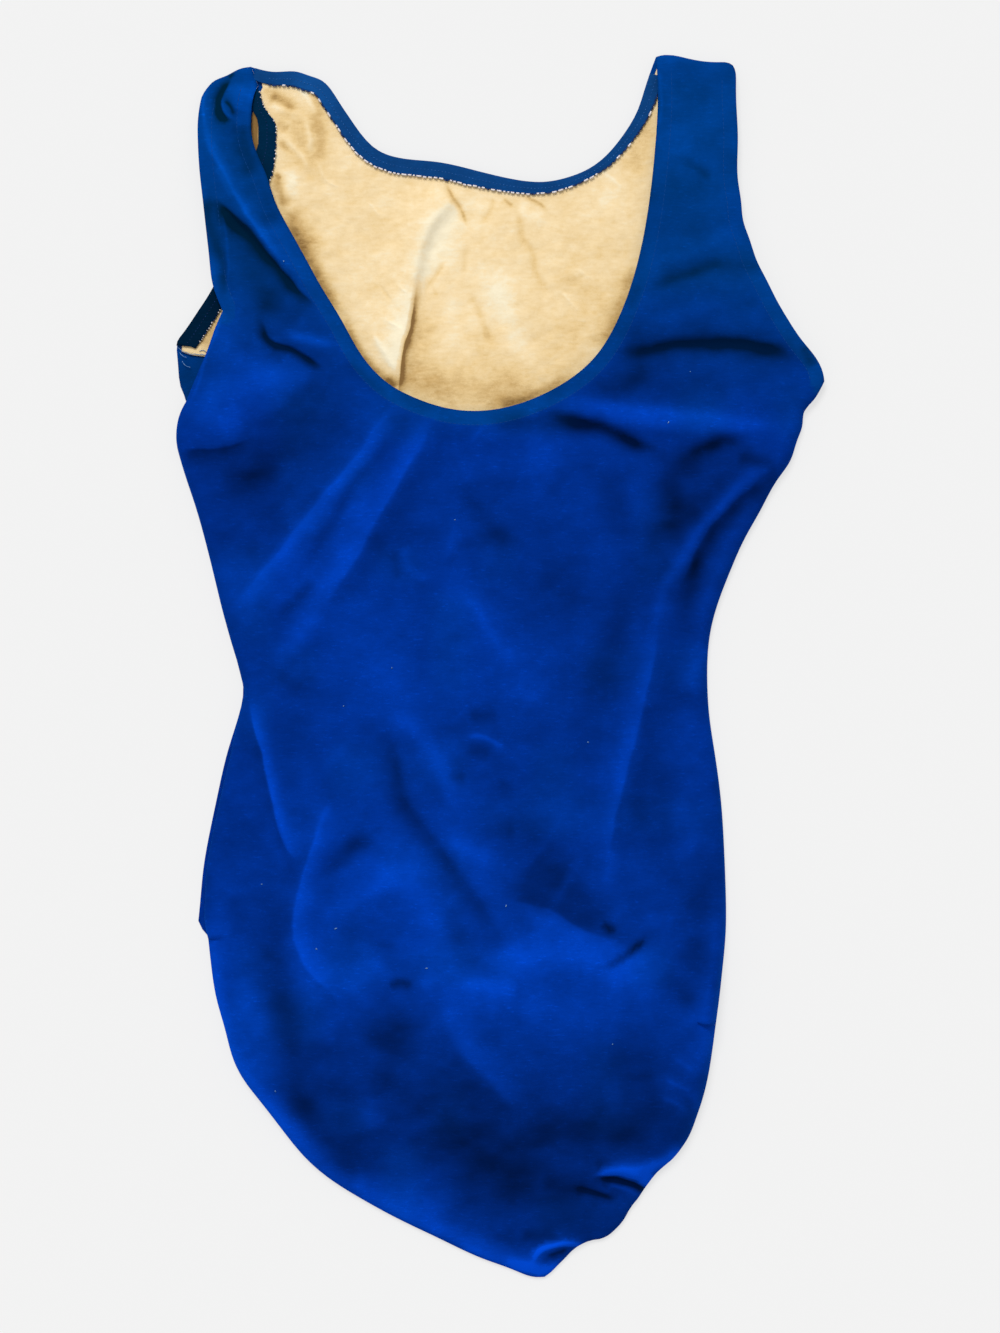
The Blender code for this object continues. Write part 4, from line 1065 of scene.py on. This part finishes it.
lining = {
    "step": 0.0016,
    "floor": 0.0013,
    "thickness": 0.0010,
    "inset": 0.003,
    "flatRim": 0.006,
    "riseOver": 0.014,
    "ripple": 0.0003,
    "ripples": [(1, 0.012, 11, (1, 1.5), 0.3), (0.7, 0.005, 12, (1, 1), 0)],
    "mottles": [
        (3.5, 0.020, 110, (1.2, 0.9), 0.4),
        (3.5, 0.008, 111, (1.5, 0.8), 0.2),
        (4.0, 0.0038, 112, (1.7, 0.7), 0.3),
    ],
    "wander": (0.5, 0.8),
    "crisp": 1.5,
    "besideCrest": [-0.0016, -0.0008, -0.0003, 0.0, 0.0003, 0.0008, 0.0016],
}

liningFolds = [
    ("centrePleat", 4.4, 5, 17, [(-24, 284), (-42, 264), (-51, 236), (-55, 212), (-60, 186), (-62, 168)]),
    ("rightWave", 1.6, 12, 12, [(2, 280), (-2, 250), (8, 222), (26, 196)]),
]

# Columns as for the back's creases and shades, whose tone is painted shade and highlight on the lining
liningCreases = [
    ("cornerRidge", 0.9, 26, 1.6, 2, [(260, 82), (278, 82), (294, 83), (308, 97), (317, 112)]),
    ("cornerPocket", -0.5, -30, 3.4, 4, [(271, 93), (284, 101), (297, 112)]),
    ("cornerShade", 0, -16, 2.5, 3, [(306, 88), (317, 102), (325, 118)]),
    ("armRidge", 0.8, 24, 1.8, 2.4, [(270, 100), (281, 108), (297, 113)]),
    ("armPocket", -0.5, -20, 2.6, 2.6, [(275, 124), (288, 128)]),
    ("armPocketLow", -0.4, -28, 2.2, 2.2, [(279, 141), (287, 150)]),
    ("armRidgeLong", 0.8, 22, 1.6, 1.6, [(305, 116), (309, 132), (310, 148)]),
    ("armRidgeSlant", 0.6, 20, 1.8, 1.8, [(284, 134), (294, 148), (303, 156), (307, 168)]),
    ("armShadeLong", -0.3, -20, 4, 4, [(312, 106), (318, 120), (322, 140), (320, 160)]),
    ("armPatch", 0.6, 24, 5, 5, [(290, 164), (291, 184), (288, 200)]),
    ("armNick", -0.3, -30, 1.6, 1.6, [(276, 172), (281, 178)]),
    ("pleatLight", 0.1, 20, 11, 11, [(456, 204), (442, 220), (432, 242), (424, 262), (418, 280)]),
    ("pleatSide", 0, 26, 0.7, 9, [(413, 288), (406, 320), (400, 348), (394, 372)]),
    ("pleatDark", 0, -50, 2, 0.6, [(417, 288), (414, 306), (409, 332), (404, 356), (400, 376), (398, 392)]),
    ("pleatDarkWide", 0, -27, 14, 0.7, [(414, 306), (409, 332), (404, 356), (400, 376), (398, 392)]),
    ("pleatSlant", 0.5, 18, 1.8, 1.8, [(372, 332), (384, 350), (397, 372)]),
    ("pleatHead", -1, -38, 1.2, 1.6, [(445, 182), (450, 194), (459, 208), (466, 226)]),
    ("pleatSeam", -0.4, -12, 1.8, 1.8, [(467, 246), (464, 276)]),
    ("pleatTick", -0.5, -24, 1.5, 1.5, [(444, 262), (436, 276), (426, 288)]),
    ("tickLow", -0.3, -16, 1.2, 1.2, [(434, 288), (438, 297)]),
    ("tuckOne", -0.4, -16, 1.6, 1.6, [(493, 196), (490, 210), (480, 222)]),
    ("tuckTwo", -0.6, -26, 1.3, 1.3, [(502, 197), (513, 207)]),
    ("tuckThree", -0.6, -32, 1.2, 1.6, [(526, 197), (537, 202), (547, 209)]),
    ("tuckThreeLight", 0.5, 14, 3, 3, [(520, 210), (534, 218), (548, 224)]),
    ("waveDip", -0.6, -18, 2.2, 2.6, [
        (514, 208), (521, 226), (524, 240), (531, 248), (534, 264), (540, 280), (549, 297),
    ]),
    ("lowWave", -0.6, -18, 2.5, 2.5, [(468, 292), (478, 308), (485, 326), (491, 344)]),
    ("lowLight", 0.5, 16, 8, 8, [(494, 276), (504, 306), (512, 332), (524, 350), (552, 362)]),
    ("lowLightSide", 0.2, 10, 5, 5, [(452, 290), (452, 330), (462, 350)]),
    ("footShadeDeep", 0, -36, 4, 4.5, [(490, 404), (520, 400), (545, 390), (574, 378)]),
    ("rightFold", 0.5, 14, 1.3, 1.3, [(600, 168), (610, 176), (622, 186)]),
    ("rightFoldLow", 0.3, 9, 1.2, 1.2, [(562, 292), (570, 302), (576, 310)]),
    ("rightTick", 0.3, 9, 1.2, 1.2, [(578, 268), (590, 279)]),
    ("flatTickOne", 0.3, 9, 1, 1, [(367, 200), (379, 215)]),
    ("flatTickTwo", 0.3, 8, 1, 1, [(318, 164), (324, 180), (337, 187)]),
    ("flatTickThree", -0.3, -9, 1.2, 1.2, [(380, 286), (392, 302)]),
    ("flatTickFour", 0.3, 9, 1, 1, [(398, 286), (408, 294)]),
    ("flatTickFive", 0.3, 9, 1.1, 1.1, [(384, 318), (402, 329)]),
]
# painted shadows under the scoop's edge and the neck hem, and deep painted shade in the slit by the left
# armhole
liningShades = [
    ("cornerGrey", -22, 3.4, [(264, 88), (269, 94), (276, 100)]),
    ("scoopShadeLeft", -48, 5.4, [(284, 208), (296, 236), (311, 264), (327, 294), (343, 320)]),
    ("scoopShadeTop", -22, 6.5, [(294, 206), (306, 228), (316, 250)]),
    ("scoopShadeLow", -46, 3.2, [(343, 320), (361, 352), (381, 376), (398, 390)]),
    ("scoopCornerShade", -30, 4, [(386, 376), (397, 386)]),
    ("pleatLightTop", 11, 12, [(440, 206), (444, 230), (432, 264)]),
    ("footShade", -24, 12, [(408, 376), (450, 388), (500, 392), (540, 386)]),
    ("rightShade", -30, 6, [(635, 262), (627, 290), (615, 320), (599, 348)]),
    ("rightShadeWide", -12, 12, [(610, 290), (590, 320), (560, 340)]),
    ("rightTop", -22, 8, [(652, 104), (642, 140), (630, 176)]),
    ("hemShadow", -8, 1.6, [(345, 150), (380, 166), (430, 177), (470, 187)]),
    ("lowGold", -9, 18, [(452, 352), (520, 362), (584, 336)]),
    ("rightGold", -7, 14, [(560, 300), (600, 262), (622, 220)]),
    ("topPale", 8, 7, [(462, 196), (474, 206), (486, 214)]),
    ("rightPale", 8, 6, [(600, 190), (626, 204)]),
    ("middlePale", 8, 9, [(478, 262), (490, 300), (470, 330)]),
    ("leftLowPale", 5, 10, [(360, 300), (380, 330)]),
    ("leftGold", -5, 12, [(332, 180), (380, 210), (400, 236)]),
    ("cornerWide", -15, 9, [(278, 106), (292, 120), (302, 142)]),
    ("armShadeWide", -18, 9, [(288, 146), (306, 172)]),
    ("armShadeEdge", -36, 4, [(274, 170), (279, 188), (288, 208)]),
    ("armWideShade", -9, 12, [(308, 112), (316, 150), (320, 190)]),
    ("slitShade", -170, 3.4, [(252, 104), (252, 130), (254, 154)]),
    ("pleatCrown", 9, 9, [(430, 262), (410, 276)]),
    ("armSliver", -30, 9, [(196, 346), (208, 332), (220, 314)]),
    ("pleatFlank", -8, 5, [(398, 300), (404, 318)]),
]

liningHeights, liningTones = heightsAndShades(liningCreases, liningShades)


def liningHeight(points, loop):
    distance = nearest(points, closedRun(loop))[0]
    folds = foldHeight(points, liningFolds, fromDrawing)
    folds += foldHeight(wander(points, *lining["wander"]), liningHeights, fromPhoto)
    folds += lining["ripple"] * (1 + layered(points, lining["ripples"]))
    rise = folds * ease((distance - lining["flatRim"]) / lining["riseOver"])
    return lining["floor"] + lining["thickness"] + np.maximum(rise, 0)


def liningPlan():
    step = lining["step"]
    sides = [insetLine(edgeLine(name, step), lining["inset"]) for name in ("neckFront", "armholeLeftFront")]
    neck, armhole = (side[nearest(side, closedRun(frontRun))[0] > 0.95 * lining["inset"]] for side in sides)
    loop = np.concatenate([neck[2:], armhole[:-1], edgeLine("liningLower", step)])
    crests = crestLines(liningCreases, lining["crisp"], *lining["wander"])
    return filledLoop(loop, middlePoints(loop, step, step * 0.6, crests, lining["besideCrest"]))


liningPoints, liningFaces, liningRun = liningPlan()
liningLevels = liningHeight(liningPoints, liningRun)
liningPiece = clothWall(
    "frontLining", liningPoints, liningFaces, liningLevels, lining["thickness"], beige
)
liningShade = strokes(wander(liningPoints, *lining["wander"]), liningTones, fromPhoto)
paint(liningPiece, "nap", (liningShade + layered(liningPoints, lining["mottles"])) / 100)
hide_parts("front_lining")
print("lining made:", len(liningFaces) * 2, "faces")

# Hems

# The profile's columns are the share across the band and how much of its thickness is left there
hem = {
    "step": 0.0026,
    "thickness": 0.0012,
    "gap": 0.0003,
    "slope": 1.25,
    "pucker": 0.00016,
    "puckerSize": 0.0035,
    "profile": [
        (0.012, 0.45), (0.04, 0.75), (0.12, 1.0), (0.3, 1.0), (0.5, 1.0), (0.7, 1.0),
        (0.82, 0.86), (0.9, 1.0), (0.97, 0.8), (1.0, 0.45),
    ],
    "catchLight": 0.075,
    "catchAt": -0.112,
    "catchWidth": 0.013,
    "armShade": 0.023,
    "armShadeTop": 0.245,
    "armShadeOver": 0.02,
}

# Where a front hem's band starts and ends, in from its edge: columns distance along the edge, outer, inner
hemBands = {
    "neckFront": [
        (0, 0, 9.5), (43, 0, 7), (80, 0, 5.2), (111, 0, 7.2), (154, 0, 9.8), (280, 0, 9.2), (308, 0, 7),
    ],
    "armholeLeftFront": [
        (0, 0, 0.9), (3.5, 0, 2.6), (10, 0.3, 8), (14, 1.5, 12), (20, 6, 16.3), (26, 7, 18),
        (37, 7, 17.7), (45, 4, 17.2), (52, 0.5, 17.3), (66, 0, 14.5), (82, 0, 9.8), (120, 0, 10.5),
        (170, 0, 12.0),
    ],
}

# columns piece, node, edge, the layer that it lies on, gap at its start and at its end, material
hems = [
    ("neckHemBack", "neck_hem_back", "neckBack", "underBack", 8.5, 4.0, hemBlue),
    ("neckHemFront", "neck_hem_front", "neckFront", "onLining", 8.5, 1.0, hemBlue),
    ("armholeHemLeftBack", "armhole_hem_left_back", "armholeLeftBack", "underBack", 6.0, 1.0, hemBlue),
    ("armholeHemLeftFront", "armhole_hem_left_front", "armholeLeftFront", "onLining", 0.6, 1.5, hemPaintedShade),
    ("armholeHemRightBack", "armhole_hem_right_back", "armholeRight", "underBack", 6.0, 8.5, hemBlue),
    ("armholeHemRightFront", "armhole_hem_right_front", "armholeRight", "onFront", 2.0, 8.5, hemBlue),
    ("legHemLeftBack", "leg_hem_left_back", "legLeft", "onTable", 17.0, 36.0, hemBlue),
    ("legHemLeftFront", "leg_hem_left_front", "legLeftFront", "onFront", 14.0, 10.0, hemBlue),
    ("legHemRightBack", "leg_hem_right_back", "legRight", "onTable", 24.0, 26.0, hemBlue),
    ("legHemRightFront", "leg_hem_right_front", "legRightFront", "onFront", 12.0, 12.0, hemBlue),
]
hemFloors = {"onTable": 0.0, "onFront": 0.0013, "onLining": 0.0026}


def hemStations(edge, startGap, endGap):
    line = edgeLine(edge, hem["step"])
    along = np.concatenate([[0], np.cumsum(np.linalg.norm(np.diff(line, axis=0), axis=1))])
    kept = (along > startGap * grid["millimetre"]) & (along < along[-1] - endGap * grid["millimetre"])
    places, starts, ends = np.array(hemBands.get(edge, [(0, 0, 9.5), (900, 0, 9.5)])).T * grid["millimetre"]
    outer, inner = (insetLine(line, np.interp(along, places, depths)) for depths in (starts, ends))
    return outer[kept], inner[kept], along[kept]


def hemPiece(row):
    # a flat tube of cloth with rounded edges, gathered a little by its elastic
    name, node, edge, layer, startGap, endGap, material = row
    outer, inner, along = hemStations(edge, startGap, endGap)
    rings = []
    for share, full in hem["profile"]:
        line = outer * (1 - share) + inner * share
        wave = softNoise(np.column_stack([along, along * 0 + share * 0.004]), hem["puckerSize"], 17)
        if layer == "underBack":
            top = backHeight(line, backRun, 0.0) - backPanel["thickness"] * hem["slope"] - 2 * hem["gap"]
            low = top - hem["thickness"]
        else:
            low = np.full(len(line), hemFloors[layer])
            top = low + hem["thickness"]
        middle, half = (top + low) / 2, (top - low) / 2 * full
        rings.append((line, middle + half + hem["pucker"] * wave * (layer == "onLining"), middle - half))
    tops = [np.column_stack([line, high]) for line, high, _ in rings]
    lows = [np.column_stack([line, low]) for line, _, low in rings[::-1]]
    around = tops + lows
    count = len(outer)
    faces = []
    for k in range(len(around)):
        a, b = k * count, (k + 1) % len(around) * count
        faces += [(a + i, a + i + 1, b + i + 1, b + i) for i in range(count - 1)]
    ends = [tuple(k * count for k in range(len(around)))]
    ends.append(tuple(k * count + count - 1 for k in reversed(range(len(around)))))
    piece = newPiece(name, np.concatenate(around), [*faces, *ends], material)
    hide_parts(node)
    return piece


hemPieces = {row[0]: hemPiece(row) for row in hems}

# painted highlight on the neck's band on the left, and painted shade on the armhole's band under the arm
neckBand = hemPieces["neckHemFront"]
bandAcross = np.array([v.co.x for v in neckBand.data.vertices])
fromCatch = (bandAcross - hem["catchAt"]) / hem["catchWidth"]
paint(neckBand, "nap", hem["catchLight"] * np.exp(-(fromCatch**2)))
armholeBand = hemPieces["armholeHemLeftFront"]
bandUp = np.array([v.co.y for v in armholeBand.data.vertices])
paint(armholeBand, "nap", -hem["armShade"] * ease((hem["armShadeTop"] - bandUp) / hem["armShadeOver"]))
print("hems made:", len(hemPieces))

# Sewing

sewing = {
    "stitch": 0.0021,
    "space": 0.0029,
    "dashStep": 0.0007,
    "thread": 0.00016,
    "stitchSunk": 0.00002,
    "seamClear": 0.0070,
    "dotStitch": 0.0009,
    "dotSpace": 0.0024,
    "dotLift": 0.00002,
    "dotThread": 0.00024,
    "sergeThread": 0.00052,
    "sergeFine": 0.00040,
    "sergeStep": 0.0003,
    "sergeGap": 0.0008,
    "sergeStray": 0.00025,
    "seamThread": 0.00018,
    "lintThread": 0.00034,
}


def backSurface(line, lift):
    return np.column_stack([line, backHeight(line, backRun) + lift])


def dashes(line, surface, lift, stitch=sewing["stitch"], space=sewing["space"]):
    # a row of short raised stitches along a line
    line = spaced(line, sewing["dashStep"])
    long, gap = max(1, round(stitch / sewing["dashStep"])), round(space / sewing["dashStep"])
    high = surface(line, lift)
    return [high[i : i + long + 1] for i in range(0, len(line) - long, gap)]


stitchLines = []
for name in hemmedEdges:
    line = insetLine(edgeLine(name, backPanel["step"]), backPanel["hemWidth"])
    keep = inside(line, backRun) & (nearest(line, closedRun(backRun))[0] > sewing["seamClear"])
    stitchLines += dashes(line[keep], backSurface, -sewing["stitchSunk"])
stitches = tubes("hemStitches", stitchLines, sewing["thread"], blueThread, 4)

hemTop = hemFloors["onLining"] + hem["thickness"]


def onHem(line, lift):
    return np.column_stack([line, np.full(len(line), hemTop + lift)])


def bandDots(name, edge, startGap, endGap, share, material):
    # the row of stitches along the middle of a turned hem
    outer, inner, _ = hemStations(edge, startGap, endGap)
    middle = outer * (1 - share) + inner * share
    rows = dashes(middle, onHem, sewing["dotLift"], sewing["dotStitch"], sewing["dotSpace"])
    tubes(name, rows, sewing["dotThread"], material, 5)


bandDots("neckHemStitches", "neckFront", 12, 8, 0.55, dotThread)
bandDots("armholeHemStitches", "armholeLeftFront", 6, 6, 0.5, navyThread)

# How much of the serged edge shows its white thread, along the photo's width: columns x, share
neckWhite = [
    (270, 0.08), (320, 0.1), (336, 0.5), (350, 0.95), (470, 0.95), (540, 0.85), (566, 0.5), (610, 0.4),
    (660, 0.2),
]


def serged(name, edge, gaps, longest, share, thread, offset, materials, seed):
    # thread wrapped over the band's raw edge: pale loops where it shows, dark ones between them
    _, inner, _ = hemStations(edge, *gaps)
    step, stray = sewing["sergeStep"], sewing["sergeStray"]
    line = spaced(inner, step)
    side = insetLine(line, 1.0) - line
    chance = np.random.default_rng(seed)
    pale, dark = [], []
    at = 2
    while at < len(line) - 16:
        long = round(chance.uniform(0.45, 1.0) * longest / step)
        photoX = line[at, 0] / grid["photoStep"] + grid["photoMiddle"][0]
        shows = chance.random() < np.interp(photoX, *np.array(share).T)
        run = line[at : at + long] + side[at : at + long] * chance.uniform(offset - stray, offset + stray)
        (pale if shows else dark).append(onHem(run, 0.0002 if shows else -0.0001))
        at += long + round(chance.uniform(0.6, 1.3) * sewing["sergeGap"] / step)
    for word, runs, material in zip(("Pale", "Dark"), (pale, dark), materials):
        if runs:
            tubes(name + word, runs, thread, material, 6)


serged(
    "neckSerging", "neckFront", (10, 6), 0.0034, neckWhite, sewing["sergeThread"], 0.0001,
    (paleThread, navyThread), 5,
)
serged(
    "armholeSerging", "armholeLeftFront", (2.5, 4), 0.0012, [(0, 0.62), (1000, 0.62)],
    sewing["sergeFine"], 0.0, (paleThread, navyThread), 6,
)

# Raw edge of the side seam under the left arm, and its loose threads, on the photo's grid
seamEdge = [(177, 347), (181, 350), (187, 353), (197, 354), (209, 355)]
looseThreads = [
    [(179, 352), (183, 356), (186, 357)],
    [(182, 361), (185, 365), (190, 367)],
    [(206, 352), (203, 350), (199, 351)],
]
seamLevel = 0.0026


def onFront(line, lift):
    return np.column_stack([line, np.full(len(line), seamLevel) + lift])


seamLine = smoothCurve(fromPhoto(seamEdge), 0.0004)
fray = np.column_stack([softNoise(seamLine, 0.0016, 31), softNoise(seamLine, 0.0014, 32)])
seamRuns = [onFront(seamLine + 0.0005 * fray, 0.0004)]
seamRuns += [onFront(smoothCurve(fromPhoto(run), 0.0005), 0.0002) for run in looseThreads]
tubes("rawSeam", seamRuns, sewing["seamThread"], hazyThread, 5)

# Specks of lint on the back: columns x, y, length in mm, turn in degrees
lint = [
    (336, 928, 1.6, 20), (506, 905, 1.2, 70), (317, 948, 1.0, 140), (427, 967, 1.3, 10), (668, 423, 1.2, 60),
    (262, 884, 0.9, 40), (455, 520, 0.8, 15), (392, 668, 0.7, 80), (588, 742, 0.8, 30), (344, 706, 0.7, 0),
    (612, 1042, 0.8, 50), (276, 1090, 1.0, 120), (690, 372, 0.7, 20), (284, 262, 0.7, 110),
]
lintRuns = []
for x, y, long, turn in lint:
    way = np.array([math.cos(math.radians(turn)), math.sin(math.radians(turn))])
    half = 0.5 * long * grid["millimetre"] * way
    middle = fromPhoto([(x, y)])[0]
    lintRuns.append(backSurface(np.array([middle - half, middle + 0.2 * half[::-1], middle + half]), 0.0003))
tubes("lint", lintRuns, sewing["lintThread"], hazyThread, 5)
print("sewing made")
# Camera, floor and light

view = {"height": 3.0, "fieldTall": 0.7998, "clothLevel": 0.006, "centre": (-0.0002, -0.0003)}
camera = bpy.data.objects.new("camera", bpy.data.cameras.new("camera"))
camera.location = (*view["centre"], view["height"])
camera.data.sensor_width = 36
camera.data.lens = 36 * (view["height"] - view["clothLevel"]) / view["fieldTall"]
bpy.context.scene.collection.objects.link(camera)
bpy.context.scene.camera = camera

studio = {
    "sky": 0.48, "sun": 0.56, "sunSpread": 26.0, "elevation": 52.0, "azimuth": 106.0,
    "floorReturn": 0.22, "floorGlow": 0.665,
}

floorMesh = bpy.data.meshes.new("floor")
floorCorners = [(x, y, -0.0004) for x, y in ((-6, -6), (6, -6), (6, 6), (-6, 6))]
floorMesh.from_pydata(floorCorners, [], [(0, 1, 2, 3)])
floor = bpy.data.objects.new("floor", floorMesh)
bpy.context.scene.collection.objects.link(floor)
floorMaterial, floorShader, floorPlace = newMaterial("paleFloor")
grain = floorPlace.noise(90.0, 2.0)
pale = grain.mixed((*[studio["floorReturn"]] * 3, 1), (*[0.985 * studio["floorReturn"]] * 3, 1))
finish(floorShader, pale, 0.8 + 0.1 * grain, grain, 0.05, 0.0002, {
    "Specular IOR Level": 0.0, "Emission Color": (1, 1, 1, 1), "Emission Strength": studio["floorGlow"],
})
floorMesh.materials.append(floorMaterial)

# the sun stands towards the straps, a little to the left, and is as wide as a large window
sun = bpy.data.objects.new("windowLight", bpy.data.lights.new("windowLight", "SUN"))
sun.data.angle = math.radians(studio["sunSpread"])
sun.data.energy = studio["sun"] * math.pi / math.sin(math.radians(studio["elevation"]))
sun.rotation_euler = (
    math.radians(90 - studio["elevation"]), 0, math.radians(studio["azimuth"] + 90)
)
bpy.context.scene.collection.objects.link(sun)
world = bpy.data.worlds.new("studio")
world.use_nodes = True
world.node_tree.nodes["Background"].inputs["Color"].default_value = (1, 1, 1, 1)
world.node_tree.nodes["Background"].inputs["Strength"].default_value = studio["sky"]
bpy.context.scene.world = world
bpy.context.scene.view_settings.view_transform = "Standard"
print("camera, floor and light set")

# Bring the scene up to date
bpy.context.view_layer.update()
